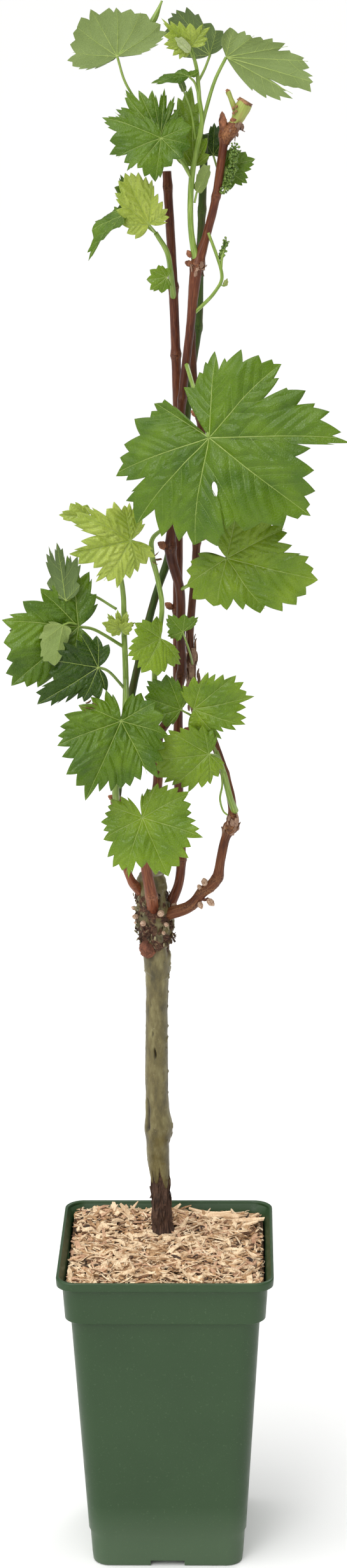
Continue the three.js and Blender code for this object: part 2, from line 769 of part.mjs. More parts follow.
const COLOURS = {
  pot: { color: 0x4b5f52, roughness: 0.42, metalness: 0 },
  mix: { color: 0xa98a64, roughness: 0.95, metalness: 0 },
  bark: { color: 0x4a3f30, roughness: 0.8, metalness: 0 },
  cane: { color: 0x5f3d2b, roughness: 0.6, metalness: 0 },
  greenCane: { color: 0x4f6a2f, roughness: 0.5, metalness: 0 },
  foliage: { color: 0x6d9440, roughness: 0.55, metalness: 0 },
};

const grapevine = new THREE.Group();

function addMesh(name, solid, colour) {
  const { vertProperties, triVerts } = solid.getMesh();
  const geometry = new THREE.BufferGeometry();
  geometry.setAttribute('position', new THREE.BufferAttribute(vertProperties, 3));
  geometry.setIndex(new THREE.BufferAttribute(triVerts, 1));
  geometry.computeVertexNormals();
  const mesh = new THREE.Mesh(geometry, new THREE.MeshStandardMaterial(colour));
  mesh.name = name;
  grapevine.add(mesh);
}

addMesh('pot', makePot(), COLOURS.pot);
addMesh('potting_mix', makeMix(), COLOURS.mix);
const belowGround = box([60, 60, 40], [TRUNK.path[0][0], TRUNK.path[0][1], TRUNK_FOOT - 20]);
for (const [name, { path, sides, clear }] of Object.entries(LIMBS)) {
  let solid = largestBody(clearOf(limb(path, sides), clear));
  if (name === 'trunk') {
    solid = solid.subtract(belowGround);
  }
  const green = name.startsWith('green') || name === 'top_stub';
  const colour = name === 'trunk' ? COLOURS.bark : COLOURS.cane;
  addMesh(name, solid, green ? COLOURS.greenCane : colour);
}
for (const [name, mass] of Object.entries(FOLIAGE)) {
  addMesh(name, makeMass(mass), COLOURS.foliage);
}

export default grapevine;
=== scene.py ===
"""The looks of a young grapevine in a square nursery pot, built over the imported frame."""

import math

import bpy
import numpy as np
from mathutils import Matrix, Vector


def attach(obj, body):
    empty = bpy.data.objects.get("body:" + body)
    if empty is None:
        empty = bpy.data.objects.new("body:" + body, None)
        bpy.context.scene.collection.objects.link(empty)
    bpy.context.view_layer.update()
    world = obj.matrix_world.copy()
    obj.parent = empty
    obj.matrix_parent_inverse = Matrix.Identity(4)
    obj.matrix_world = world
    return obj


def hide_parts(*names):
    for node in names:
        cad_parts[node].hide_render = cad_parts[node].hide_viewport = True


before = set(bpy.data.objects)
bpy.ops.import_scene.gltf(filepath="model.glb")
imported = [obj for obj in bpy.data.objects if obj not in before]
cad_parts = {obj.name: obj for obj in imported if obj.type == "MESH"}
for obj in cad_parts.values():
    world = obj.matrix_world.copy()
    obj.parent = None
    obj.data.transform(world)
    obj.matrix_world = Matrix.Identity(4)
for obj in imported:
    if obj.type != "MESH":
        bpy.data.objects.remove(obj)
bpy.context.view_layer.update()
MM = 0.001


# Camera, floor and light
# The camera stands where the corners of the pot put the photograph's own: above the top leaf and
# looking down at the pot. The floor and the backdrop are plain and pale. The light is a sky that is
# brightest up to the front left, with two large soft lights.

PHOTO_SIZE = (545, 2464)
FOCAL_PIXELS = 5068.7
CAMERA_PLACE = (0.0545, -2.1146, 1.1292)
CAMERA_PITCH = 0.2631
CAMERA_YAW = -0.0223
CAMERA_ROLL = -0.0079

camera_data = bpy.data.cameras.new("camera")
camera_data.sensor_fit = "VERTICAL"
camera_data.sensor_height = 36
camera_data.lens = camera_data.sensor_height * FOCAL_PIXELS / PHOTO_SIZE[1]
camera_data.clip_end = 300
camera = bpy.data.objects.new("camera", camera_data)
bpy.context.collection.objects.link(camera)
gaze = Vector((
    math.sin(CAMERA_YAW) * math.cos(CAMERA_PITCH),
    math.cos(CAMERA_YAW) * math.cos(CAMERA_PITCH),
    -math.sin(CAMERA_PITCH),
))
level = Vector((math.cos(CAMERA_YAW), -math.sin(CAMERA_YAW), 0))
upright = level.cross(gaze)
right = level * math.cos(CAMERA_ROLL) + upright * math.sin(CAMERA_ROLL)
up = upright * math.cos(CAMERA_ROLL) - level * math.sin(CAMERA_ROLL)
camera.matrix_world = Matrix.Translation(CAMERA_PLACE) @ Matrix((right, up, -gaze)).transposed().to_4x4()
bpy.context.scene.camera = camera
bpy.context.scene.view_settings.view_transform = "Standard"


def area_light(name, place, target, size, power):
    """A round soft light that faces a place in the plant."""
    data = bpy.data.lights.new(name, "AREA")
    data.shape = "DISK"
    data.size = size
    data.energy = power
    light = bpy.data.objects.new(name, data)
    light.location = place
    light.rotation_euler = (Vector(target) - Vector(place)).to_track_quat("-Z", "Y").to_euler()
    bpy.context.collection.objects.link(light)


area_light("key", (-1.1, -2.6, 2.6), (0, 0, 0.6), 1.5, 28)
area_light("rim", (0.9, 1.9, 2.0), (0, 0, 0.7), 1.2, 14)


def nodes_of(owner):
    """The node tree of a material or of the sky, or an effect's own."""
    return getattr(owner, "node_tree", owner)


def node(owner, kind, settings=None, **inputs):
    """A new node of a kind, with its settings, and its inputs given as values or as sockets."""
    made = nodes_of(owner).nodes.new("ShaderNode" + kind)
    for key, value in (settings or {}).items():
        setattr(made, key, value)
    for key, value in inputs.items():
        connect(owner, value, made.inputs[key.replace("_", " ")])
    return made


def connect(owner, value, socket):
    """Links a socket to another, or sets it to a value."""
    if isinstance(value, bpy.types.NodeSocket):
        nodes_of(owner).links.new(value, socket)
    else:
        socket.default_value = value


SKY_BASE = 0.3
SKY_GLOW = 2.4
SKY_SPREAD = 3.0
SKY_BRIGHTEST = Vector((-0.35, -0.35, 0.87)).normalized()
WHITE = (1, 1, 1, 1)

world = bpy.data.worlds.new("sky")
world.use_nodes = True
facing = node(world, "VectorMath", {"operation": "DOT_PRODUCT"})
connect(world, node(world, "TexCoord").outputs["Generated"], facing.inputs[0])
connect(world, SKY_BRIGHTEST, facing.inputs[1])
glow = node(world, "Math", {"operation": "POWER", "use_clamp": True})
connect(world, facing.outputs["Value"], glow.inputs[0])
connect(world, SKY_SPREAD, glow.inputs[1])
strength = node(world, "MapRange", Value=glow.outputs[0], To_Min=SKY_BASE, To_Max=SKY_BASE + SKY_GLOW)
sky_light = world.node_tree.nodes["Background"]
connect(world, strength.outputs[0], sky_light.inputs["Strength"])
connect(world, WHITE, sky_light.inputs["Color"])
backdrop = node(world, "Background", Color=WHITE)
seen = node(world, "MixShader", Fac=node(world, "LightPath").outputs["Is Camera Ray"])
connect(world, sky_light.outputs[0], seen.inputs[1])
connect(world, backdrop.outputs[0], seen.inputs[2])
connect(world, seen.outputs[0], world.node_tree.nodes["World Output"].inputs["Surface"])
bpy.context.scene.world = world


def new_material(name):
    """A material whose shader is still plain."""
    material = bpy.data.materials.new(name)
    material.use_nodes = True
    return material


def surface(material, **inputs):
    """Sets the material's shader: colour, roughness, relief and gloss."""
    shader = material.node_tree.nodes["Principled BSDF"]
    for key, value in inputs.items():
        connect(material, value, shader.inputs[key.replace("_", " ")])


FLOOR_REACH = 90
floor_mesh = bpy.data.meshes.new("floor")
floor_corners = [(x * FLOOR_REACH, y * FLOOR_REACH, 0) for x, y in ((-1, -1), (1, -1), (1, 1), (-1, 1))]
floor_mesh.from_pydata(floor_corners, [], [(0, 1, 2, 3)])
floor = bpy.data.objects.new("floor", floor_mesh)
bpy.context.collection.objects.link(floor)
floor_finish = new_material("floor_finish")
surface(floor_finish, Base_Color=(0.92, 0.92, 0.91, 1), Roughness=0.9)
floor_mesh.materials.append(floor_finish)


# Pot
# A deep square pot, moulded in one piece from dark green plastic about 1.7 mm thick. A rolled lip
# stands out at its top, a collar steps in below it, and it stands on four feet between notches.

POT_HEIGHT = 225.7
POT_LIP_HALF = 75
POT_LIP_FOOT = 219.1
POT_LIP_ROUND = 1.2
POT_COLLAR_FOOT = 192.7
POT_COLLAR_HALVES = (69.4, 71)
POT_WALL_HALVES = (54.1, 54.4, 65.6)
POT_CORNER = 13
POT_WALL = 1.7
POT_FLOOR = 7.2
POT_FLOOR_HALF = 51.4
POT_FLOOR_ROUND = 1.6
POT_FOOT = 4.5
POT_CORNER_STEPS = 10
POT_SIDE_STEPS = 24
FOOT_NOTCH = (54, 24, 2 * POT_FOOT)
DRAIN_HOLE = (9, 9, 21.6)
DRAIN_HOLE_PLACE = 36
RIM_SLOT = (6, 11, 5)
RIM_SLOT_PLACE = (70, 0, 214.2)


def square_ring(half, corner):
    """Points round a square with round corners, with even steps along each side."""
    points = []
    straight = half - corner
    for quarter in range(4):
        turn = quarter * math.pi / 2
        along = np.array((-math.sin(turn), math.cos(turn)))
        out = np.array((math.cos(turn), math.sin(turn)))
        for k in range(POT_SIDE_STEPS):
            points.append(out * half + along * straight * (2 * k / POT_SIDE_STEPS - 1))
        for k in range(POT_CORNER_STEPS):
            angle = turn + k * math.pi / 2 / POT_CORNER_STEPS
            arc = np.array((math.cos(angle), math.sin(angle)))
            points.append(out * straight + along * straight + arc * corner)
    return np.array(points)


def pot_half(z):
    """Half the width of the pot's outer wall at a height."""
    return np.interp(z, (0, POT_FOOT, POT_COLLAR_FOOT), POT_WALL_HALVES)


def lofted(profile):
    """Points and faces of a closed skin through square rings: half, corner, z."""
    rings = []
    for half, corner, z in profile:
        ring = square_ring(half, corner)
        rings.append(np.column_stack((ring, np.full(len(ring), z))))
    count = len(rings[0])
    faces = []
    for i in range(len(rings) - 1):
        for k in range(count):
            a, b = i * count + k, i * count + (k + 1) % count
            faces.append((a, b, b + count, a + count))
    faces.append(tuple(reversed(range(count))))
    last = (len(rings) - 1) * count
    faces.append(tuple(range(last, last + count)))
    return np.vstack(rings), faces


def pot_profile():
    """The pot's section, from under its floor, up outside, over the lip and down inside."""
    rows = [(30, 6, 0), (50, POT_CORNER - 3, 0)]
    for k in range(5):
        turn = k * math.pi / 8
        out, rise = POT_FLOOR_ROUND * math.sin(turn), POT_FLOOR_ROUND * (1 - math.cos(turn))
        rows.append((POT_FLOOR_HALF + out, POT_CORNER - 1.5, rise))
    for z in (6, 16, 24):
        rows.append((pot_half(z) - 0.9, POT_CORNER - 0.6, z))
    rows.append((pot_half(27), POT_CORNER, 26.5))
    for z in np.linspace(40, POT_COLLAR_FOOT - 3, 12):
        rows.append((pot_half(z), POT_CORNER, z))
    rows += [(65.7, POT_CORNER, POT_COLLAR_FOOT - 1.2), (66.2, POT_CORNER, POT_COLLAR_FOOT - 0.3),
             (68.7, POT_CORNER, POT_COLLAR_FOOT), (69.4, POT_CORNER, POT_COLLAR_FOOT + 0.7)]
    for z in np.linspace(POT_COLLAR_FOOT + 3, POT_LIP_FOOT - 2.4, 5):
        rows.append((np.interp(z, (POT_COLLAR_FOOT, POT_LIP_FOOT), POT_COLLAR_HALVES), POT_CORNER, z))
    rows += [(71.2, POT_CORNER, POT_LIP_FOOT - 0.8), (71.9, POT_CORNER, POT_LIP_FOOT - 0.2),
             (74, POT_CORNER, POT_LIP_FOOT), (74.7, POT_CORNER, POT_LIP_FOOT + 0.6)]
    for k in range(7):
        turn = k * math.pi / 6
        out, rise = POT_LIP_ROUND * (math.cos(turn) - 1), POT_LIP_ROUND * (math.sin(turn) - 1)
        rows.append((POT_LIP_HALF + out, POT_CORNER, POT_HEIGHT + rise))
    inner = POT_CORNER - POT_WALL
    rows += [(72.2, inner, POT_HEIGHT - 2.4), (70.4, inner, POT_HEIGHT - 5),
             (69.4, inner, POT_LIP_FOOT - 4), (67.8, inner, POT_COLLAR_FOOT + 1.5),
             (64.2, inner, POT_COLLAR_FOOT - 1), (POT_FLOOR_HALF, inner, POT_FLOOR + 1),
             (POT_FLOOR_HALF - 1, inner - 1, POT_FLOOR), (20, 6, POT_FLOOR)]
    return rows


def cut_box(target, place, size, turn):
    """Cuts a box out of a mesh piece, turned about the middle. Place and size are in millimetres."""
    bpy.ops.mesh.primitive_cube_add(size=1)
    cutter = bpy.context.active_object
    spin = Matrix.Rotation(turn, 4, "Z")
    shift = Matrix.Translation(Vector(place) * MM)
    cutter.matrix_world = spin @ shift @ Matrix.Diagonal((*Vector(size) * MM, 1))
    cut = target.modifiers.new("cut", "BOOLEAN")
    cut.operation = "DIFFERENCE"
    cut.solver = "MANIFOLD"
    cut.object = cutter
    with bpy.context.temp_override(object=target, active_object=target, selected_objects=[target]):
        bpy.ops.object.modifier_apply(modifier=cut.name)
    bpy.data.objects.remove(cutter)


def paint(*levels):
    """A colour as it looks on screen, from 0 to 255, as the linear one that a shader takes."""
    shares = [level / 255 for level in levels]
    return (*(s / 12.92 if s <= 0.04045 else ((s + 0.055) / 1.055) ** 2.4 for s in shares), 1)


def mix(material, share, first, second, blend="MIX"):
    """Two colours blended by a share from 0 to 1."""
    made = node(material, "Mix", {"data_type": "RGBA", "blend_type": blend})
    connect(material, share, made.inputs[0])
    connect(material, first, made.inputs[6])
    connect(material, second, made.inputs[7])
    return made.outputs[2]


def ramp(material, value, *stops):
    """A value turned into the colours, or the shares from 0 to 1, of some stops."""
    made = node(material, "ValToRGB", Fac=value)
    elements = made.color_ramp.elements
    while len(elements) < len(stops):
        elements.new(0.5)
    for element, (place, colour) in zip(elements, stops):
        element.position = place
        element.color = colour if hasattr(colour, "__len__") else (colour, colour, colour, 1)
    return made.outputs["Color"]


def object_place(material, scale=(1, 1, 1)):
    """The place on the object in millimetres, stretched by a scale along each axis."""
    place = node(material, "TexCoord").outputs["Object"]
    return node(material, "Mapping", Vector=place, Scale=[s / MM for s in scale]).outputs["Vector"]


def noise(material, place, size, detail=3.0, roughness=0.55):
    """Soft noise with features about size millimetres across."""
    made = node(material, "TexNoise", Vector=place, Scale=1 / size, Detail=detail, Roughness=roughness)
    return made.outputs["Fac"]


def bump(material, height, strength, distance_mm):
    """Fine relief for a surface's Normal, from a value."""
    made = node(material, "Bump", Height=height, Strength=strength, Distance=distance_mm * MM)
    return made.outputs["Normal"]


def add_piece(name, points, faces, material, slot, nodes=(), smooth=True, **fields):
    """A mesh piece from points in millimetres. fields are values kept at each point."""
    mesh = bpy.data.meshes.new(name)
    mesh.from_pydata((np.asarray(points) * MM).tolist(), [], faces)
    for key, values in fields.items():
        values = np.asarray(values, dtype=np.float32)
        if values.ndim == 1:
            mesh.attributes.new(key, "FLOAT", "POINT").data.foreach_set("value", values)
        else:
            mesh.attributes.new(key, "FLOAT_VECTOR", "POINT").data.foreach_set("vector", values.ravel())
    mesh.polygons.foreach_set("use_smooth", [smooth] * len(mesh.polygons))
    mesh.materials.append(material)
    piece = bpy.data.objects.new(name, mesh)
    bpy.context.collection.objects.link(piece)
    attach(piece, "root")
    if nodes:
        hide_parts(*nodes)
    return piece


def height_share(material, place, low, high):
    """How far up each place is between two heights, from 0 to 1."""
    height = node(material, "SeparateXYZ", Vector=place).outputs["Z"]
    return node(material, "MapRange", Value=height, From_Min=low, From_Max=high).outputs[0]


pot_plastic = new_material("pot_plastic")
place = object_place(pot_plastic)
cloud = noise(pot_plastic, place, 60, 2)
speckle = noise(pot_plastic, place, 1.6, 2)
scuff_place = object_place(pot_plastic, (0.25, 0.25, 1))
scuff = ramp(pot_plastic, noise(pot_plastic, scuff_place, 2.2, 4, 0.7), (0.66, 0.0), (0.72, 1.0))
near_lip = height_share(pot_plastic, place, 214, 226)
lip_edge = ramp(pot_plastic, near_lip, (0.2, 0.0), (0.42, 1.0), (0.6, 0.0))
scuffs = mix(pot_plastic, 1.0, scuff, lip_edge, "MULTIPLY")
green = mix(pot_plastic, cloud, paint(38, 62, 33), paint(47, 73, 41))
green = mix(pot_plastic, ramp(pot_plastic, speckle, (0.62, 0.0), (0.75, 0.25)), green, paint(88, 110, 78))
# Painted reflection of the pale floor: the green turns paler towards the pot's foot.
painted_floor_reflection = ramp(pot_plastic, height_share(pot_plastic, place, 0, 60), (0.0, 0.36), (0.38, 0.3), (0.8, 0.0))
green = mix(pot_plastic, painted_floor_reflection, green, paint(98, 118, 92))
surface(
    pot_plastic,
    Base_Color=mix(pot_plastic, scuffs, green, paint(165, 172, 160)),
    Roughness=ramp(pot_plastic, noise(pot_plastic, place, 9, 3), (0.3, 0.33), (0.7, 0.45)),
    Specular_IOR_Level=0.36,
    Normal=bump(pot_plastic, noise(pot_plastic, place, 0.8, 2), 0.25, 0.15),
)
pot_points, pot_faces = lofted(pot_profile())
pot = add_piece("pot_shell", pot_points, pot_faces, pot_plastic, "pot", ("pot",))
for quarter in range(4):
    turn = quarter * math.pi / 2
    cut_box(pot, (POT_WALL_HALVES[1], 0, 0), FOOT_NOTCH, turn)
    cut_box(pot, (DRAIN_HOLE_PLACE, 0, 0), DRAIN_HOLE, turn)
for turn in (0, math.pi):
    cut_box(pot, RIM_SLOT_PLACE, RIM_SLOT, turn)
pot.data.set_sharp_from_angle(angle=math.radians(38))


# Potting mix and wood chips
# The pot is filled to just under its lip. The mix is covered by pale wood chips and shavings that
# lie loosely on each other, from fine splinters to chips about 45 mm long, with a few dark ones.

MIX_TOP = 221.2
MIX_HALF = 69.5
MIX_STRAIGHT_HALF = 57
MIX_CORNER = 11.2
MIX_EDGE_DROP = 4.4
MIX_HEAP = 3.4
BED_STEPS = 90


def value_noise(points, seed):
    """Smooth noise from -1 to 1 with features one unit across."""
    random = np.random.default_rng(seed)
    table = random.permutation(256)
    values = random.uniform(-1, 1, 256)
    cell = np.floor(points).astype(int)
    part = points - cell
    part = part * part * (3 - 2 * part)
    total = np.zeros(len(points))
    for corner in np.ndindex(2, 2, 2):
        index = cell + corner
        key = table[(table[(table[index[:, 0] & 255] + index[:, 1]) & 255] + index[:, 2]) & 255]
        weight = np.prod(np.where(corner, part, 1 - part), axis=1)
        total += weight * values[key]
    return total


def fractal(points, seed, octaves=4):
    """Layers of smooth noise, each twice as fine and half as strong as the one before."""
    return sum(0.5 ** k * value_noise(points * 2 ** k, seed + k) for k in range(octaves))


def smoothstep(low, high, value):
    """A soft step from 0 at low to 1 at high."""
    share = np.clip((value - low) / (high - low), 0, 1)
    return share * share * (3 - 2 * share)


def mix_height(x, y):
    """The height of the mix: a low dome with small hollows, heaped up at its back left."""
    far = np.maximum(np.abs(x), np.abs(y)) / MIX_HALF
    lumps = fractal(np.column_stack((x, y, np.zeros_like(x))) / 14, 5, 3)
    heap = MIX_HEAP * smoothstep(18, 58, y) * (1 - smoothstep(-10, 30, x))
    return MIX_TOP - 0.6 - MIX_EDGE_DROP * far ** 4 + 0.7 * lumps + heap


grid = np.linspace(-MIX_HALF, MIX_HALF, BED_STEPS)
bed = np.column_stack([axis.ravel() for axis in np.meshgrid(grid, grid)])
over = np.maximum(np.abs(bed) - MIX_STRAIGHT_HALF, 0)
inside = np.minimum(1, MIX_CORNER / np.maximum(np.hypot(*over.T), 1e-6))
bed = np.sign(bed) * (np.minimum(np.abs(bed), MIX_STRAIGHT_HALF) + over * inside[:, None])
crumble = fractal(np.column_stack((bed, np.zeros(len(bed)))) / 2.5, 9, 2)
bed = np.column_stack((bed, mix_height(*bed.T) - 0.8 + 0.7 * crumble))
row, column = np.divmod(np.arange((BED_STEPS - 1) ** 2), BED_STEPS - 1)
first = row * BED_STEPS + column
bed_faces = np.column_stack((first, first + 1, first + BED_STEPS + 1, first + BED_STEPS)).tolist()


def crumbly_material(name, size, detail, stops, roughness, strength, depth):
    """Dull crumbly stuff, whose grains of about size give its colours and its relief."""
    material = new_material(name)
    crumbs = noise(material, object_place(material), size, detail, 0.7)
    surface(
        material,
        Base_Color=ramp(material, crumbs, *stops),
        Roughness=roughness,
        Normal=bump(material, crumbs, strength, depth),
    )
    return material


MIX_BROWNS = ((0.3, paint(40, 27, 17)), (0.55, paint(96, 70, 46)), (0.7, paint(150, 118, 82)))
mix_earth = crumbly_material("mix_earth", 2.0, 5, MIX_BROWNS, 0.95, 0.8, 0.8)
add_piece("mix_bed", bed, bed_faces, mix_earth, "potting_mix", ("potting_mix",))


def effect(name, inputs, outputs):
    """A node group for several materials, with the sockets inside it. The dicts give each its kind."""
    group = bpy.data.node_groups.new(name, "ShaderNodeTree")
    for direction, sockets in (("INPUT", inputs), ("OUTPUT", outputs)):
        for key, kind in sockets.items():
            group.interface.new_socket(name=key, in_out=direction, socket_type="NodeSocket" + kind)
    return group, group.nodes.new("NodeGroupInput").outputs, group.nodes.new("NodeGroupOutput").inputs


def placed(material, group, **inputs):
    """The outputs of an effect in a material, with the material's own values."""
    return node(material, "Group", {"node_tree": group}, **inputs).outputs


split_wood, wood_in, wood_out = effect(
    "split_wood", {"Dark": "Color", "Pale": "Color"}, {"Colour": "Color", "Streaks": "Float"})
patches = noise(split_wood, object_place(split_wood), 9, 2)
streaks = noise(split_wood, object_place(split_wood, (1, 0.3, 0.6)), 0.9, 4, 0.7)
tone = node(split_wood, "Math", {"operation": "MULTIPLY"})
connect(split_wood, patches, tone.inputs[0])
connect(split_wood, streaks, tone.inputs[1])
share = ramp(split_wood, tone.outputs[0], (0.12, 0.0), (0.34, 1.0))
connect(split_wood, mix(split_wood, share, wood_in["Dark"], wood_in["Pale"]), wood_out["Colour"])
connect(split_wood, streaks, wood_out["Streaks"])


def chip_material(name, dark, pale):
    """Split wood or bark: dull, with fine grain across which the colour varies."""
    material = new_material(name)
    wood = placed(material, split_wood, Dark=dark, Pale=pale)
    surface(
        material,
        Base_Color=wood["Colour"],
        Roughness=0.85,
        Normal=bump(material, wood["Streaks"], 0.5, 0.25),
    )
    return material


def chip_mesh(centres, yaws, tilts, rolls, lengths, widths, heights, random):
    """Chips as thin bent slabs of four sections, each with its own ends and edges."""
    sections = 5
    count = len(centres)
    along = np.linspace(-0.5, 0.5, sections)
    taper = 1 - random.uniform(0.15, 0.85, (count, sections)) * (np.abs(along) * 2) ** 3
    taper *= random.uniform(0.82, 1.1, (count, sections))
    bend = random.uniform(-0.16, 0.16, (count, 1)) * (along ** 2 * 4 - 0.4)
    sway = random.uniform(-0.1, 0.1, (count, 1)) * along * 2
    corners = np.array(((-0.5, -0.5), (0.5, -0.5), (0.42, 0.5), (-0.42, 0.5)))
    shape = np.zeros((count, sections, 4, 3))
    shape[..., 0] = (along * lengths[:, None])[:, :, None]
    shape[..., 0] += random.uniform(-0.08, 0.08, (count, sections, 4)) * widths[:, None, None]
    shape[..., 1] = corners[:, 0] * (taper * widths[:, None])[..., None]
    shape[..., 1] += (sway * lengths[:, None])[..., None]
    shape[..., 2] = corners[:, 1] * (taper ** 0.5 * heights[:, None])[..., None]
    shape[..., 2] += (bend * lengths[:, None])[..., None]
    for angles, (first, second) in ((rolls, (1, 2)), (tilts, (0, 2)), (yaws, (0, 1))):
        cos, sin = np.cos(angles)[:, None, None], np.sin(angles)[:, None, None]
        a, b = shape[..., first].copy(), shape[..., second].copy()
        shape[..., first], shape[..., second] = a * cos - b * sin, a * sin + b * cos
    points = (shape + centres[:, None, None, :]).reshape(-1, 3)
    pattern = []
    for i in range(sections - 1):
        for k in range(4):
            a, b = i * 4 + k, i * 4 + (k + 1) % 4
            pattern.append((a, b, b + 4, a + 4))
    last = (sections - 1) * 4
    pattern += [(3, 2, 1, 0), (last, last + 1, last + 2, last + 3)]
    steps = np.arange(count)[:, None, None] * sections * 4
    return points, (np.array(pattern)[None] + steps).reshape(-1, 4).tolist()


# The trunk's foot in the mix: its place and its radius.
TRUNK_FOOT = (-3.3, 26, 7.5)


def scatter_chips(name, count, length_range, width_range, material, seed, layer):
    """Chips lying in the pot, kept inside its wall and clear of the trunk."""
    random = np.random.default_rng(seed)
    lengths = length_range[0] + (length_range[1] - length_range[0]) * random.random(count) ** 1.7
    widths = np.minimum(random.uniform(*width_range, count), lengths * 0.6)
    heights = random.uniform(0.35, 1.1, count)
    yaws = random.uniform(0, 2 * math.pi, count)
    tilts = random.normal(0, 0.16, count)
    cos, sin = np.abs(np.cos(yaws)), np.abs(np.sin(yaws))
    x = random.uniform(-1, 1, count) * (MIX_HALF - 0.6 - 0.5 * lengths * cos - 0.5 * widths * sin)
    y = random.uniform(-1, 1, count) * (MIX_HALF - 0.6 - 0.5 * lengths * sin - 0.5 * widths * cos)
    z = mix_height(x, y) + random.uniform(*layer, count) + 0.25 * lengths * np.abs(np.sin(tilts))
    clear = np.hypot(x - TRUNK_FOOT[0], y - TRUNK_FOOT[1]) > TRUNK_FOOT[2] + 0.36 * lengths
    centres = np.column_stack((x, y, z))[clear]
    rolls = random.uniform(-0.5, 0.5, len(centres))
    points, faces = chip_mesh(
        centres, yaws[clear], tilts[clear], rolls, lengths[clear], widths[clear], heights[clear], random)
    add_piece(name, points, faces, material, "potting_mix", smooth=False)


# Each kind is its name, its number, its lengths, its widths, its darkest and palest wood, and how
# high above the mix it lies.
CHIP_KINDS = (
    ("chips_tan", 1250, (3, 18), (1.0, 4.0), paint(122, 86, 54), paint(194, 156, 114), (-0.4, 2.2)),
    ("chips_cream", 760, (3, 21), (1.2, 4.8), paint(176, 140, 102), paint(236, 212, 176), (0.4, 2.9)),
    ("chips_pink", 480, (4, 16), (1.2, 4.4), paint(156, 112, 84), paint(212, 174, 140), (0.0, 2.4)),
    ("chips_brown", 760, (3, 13), (1.0, 3.4), paint(58, 36, 22), paint(120, 84, 54), (-0.4, 2.1)),
    ("chips_dark", 240, (3, 10), (1.2, 3.4), paint(34, 22, 15), paint(66, 46, 32), (-0.2, 2.5)),
    ("shavings_pale", 780, (3, 14), (0.35, 1.2), paint(186, 154, 118), paint(240, 220, 188), (0.6, 3.1)),
)
for seed, (name, number, lengths, widths, dark, pale, layer) in enumerate(CHIP_KINDS, 21):
    scatter_chips(name, number, lengths, widths, chip_material(name + "_wood", dark, pale), seed, layer)

# Each of the longest chips is its place, its turn, its length and its width.
long_chips = np.array([
    (-46, 55, 222.3, 0.5, 40, 5.0), (-34, 60, 222.8, -0.4, 30, 4.2), (38, 52, 222.2, 0.1, 46, 7.0),
    (52, 44, 222.6, -0.16, 34, 5.5), (46, 34, 222.0, 0.25, 38, 5.0), (30, 60, 222.4, -0.2, 32, 3.6),
])
yaws, lengths, widths = long_chips[:, 3:].T
tilts, rolls, heights = (np.full(len(long_chips), value) for value in (0.03, 0.1, 1.3))
points, faces = chip_mesh(
    long_chips[:, :3], yaws, tilts, rolls, lengths, widths, heights, np.random.default_rng(40))
long_wood = chip_material("chips_long_wood", paint(196, 160, 120), paint(236, 208, 172))
add_piece("chips_long", points, faces, long_wood, "potting_mix", smooth=False)


# Trunk
# The stock is old vine wood with dark split bark, about 15 mm thick. It swells at the graft, where
# grafting wax was run down over it in drips, and ends in a knobbly head with a waxed sawn stub.

TRUNK_PATH = (
    (-3.2, 26.4, 215.5, 11.5), (-3.3, 26, 222.5, 8.4), (-3.6, 25.4, 229, 7.2), (-4.7, 23, 259, 6.3),
    (-6.2, 21, 289, 7.4), (-5.6, 20, 303, 9.2), (-6.3, 19.6, 319, 7.5), (-6.1, 18, 385, 6.9),
    (-5.4, 16, 416, 7.3), (-5.2, 15, 434, 8.6), (-5.9, 14, 447, 11.4), (-6.7, 14, 461, 11.9),
    (-8.4, 14, 475, 10.4), (-9.1, 15, 487, 8.8), (-9.1, 15, 491.5, 7),
)
TRUNK_SIDES = 116
TRUNK_SPACING = 0.78
DRIP_EDGE = 273
SECOND_COAT = 419.5
HEAD_FOOT = 431
STUB_FOOT = 477
CRACKED_RADIUS = 7.5

# Each crack is its angle round the trunk (270 is the front), its low and high end, and its width.
TRUNK_CRACKS = (
    (218, 301, 329, 1.3), (262, 356, 368, 0.6), (248, 372, 380, 0.4), (236, 394, 401, 0.4),
    (300, 402, 408, 0.35), (80, 330, 352, 0.7), (150, 380, 398, 0.5), (20, 296, 312, 0.6),
)


def smooth_path(path, spacing):
    """Centres and radii about spacing apart on the smooth curve through a path's rows."""
    rows = np.array(path, dtype=float)
    knots = rows[:, :3]
    ends = np.vstack((2 * knots[0] - knots[1], knots, 2 * knots[-1] - knots[-2]))
    centres, radii = [], []
    for i in range(len(knots) - 1):
        p0, p1, p2, p3 = ends[i:i + 4]
        gap0, gap1, gap2 = (np.linalg.norm(b - a) ** 0.5 for a, b in ((p0, p1), (p1, p2), (p2, p3)))
        slope1 = ((p1 - p0) / gap0 - (p2 - p0) / (gap0 + gap1) + (p2 - p1) / gap1) * gap1
        slope2 = ((p2 - p1) / gap1 - (p3 - p1) / (gap1 + gap2) + (p3 - p2) / gap2) * gap1
        count = max(2, round(np.linalg.norm(p2 - p1) / spacing))
        t = np.arange(count)[:, None] / count
        square = 3 * (p2 - p1) - 2 * slope1 - slope2
        cube = 2 * (p1 - p2) + slope1 + slope2
        centres.append(p1 + slope1 * t + square * t ** 2 + cube * t ** 3)
        radii.append(rows[i, 3] + (rows[i + 1, 3] - rows[i, 3]) * smoothstep(0, 1, t[:, 0]))
    return np.vstack((*centres, knots[-1:])), np.append(np.concatenate(radii), rows[-1, 3])


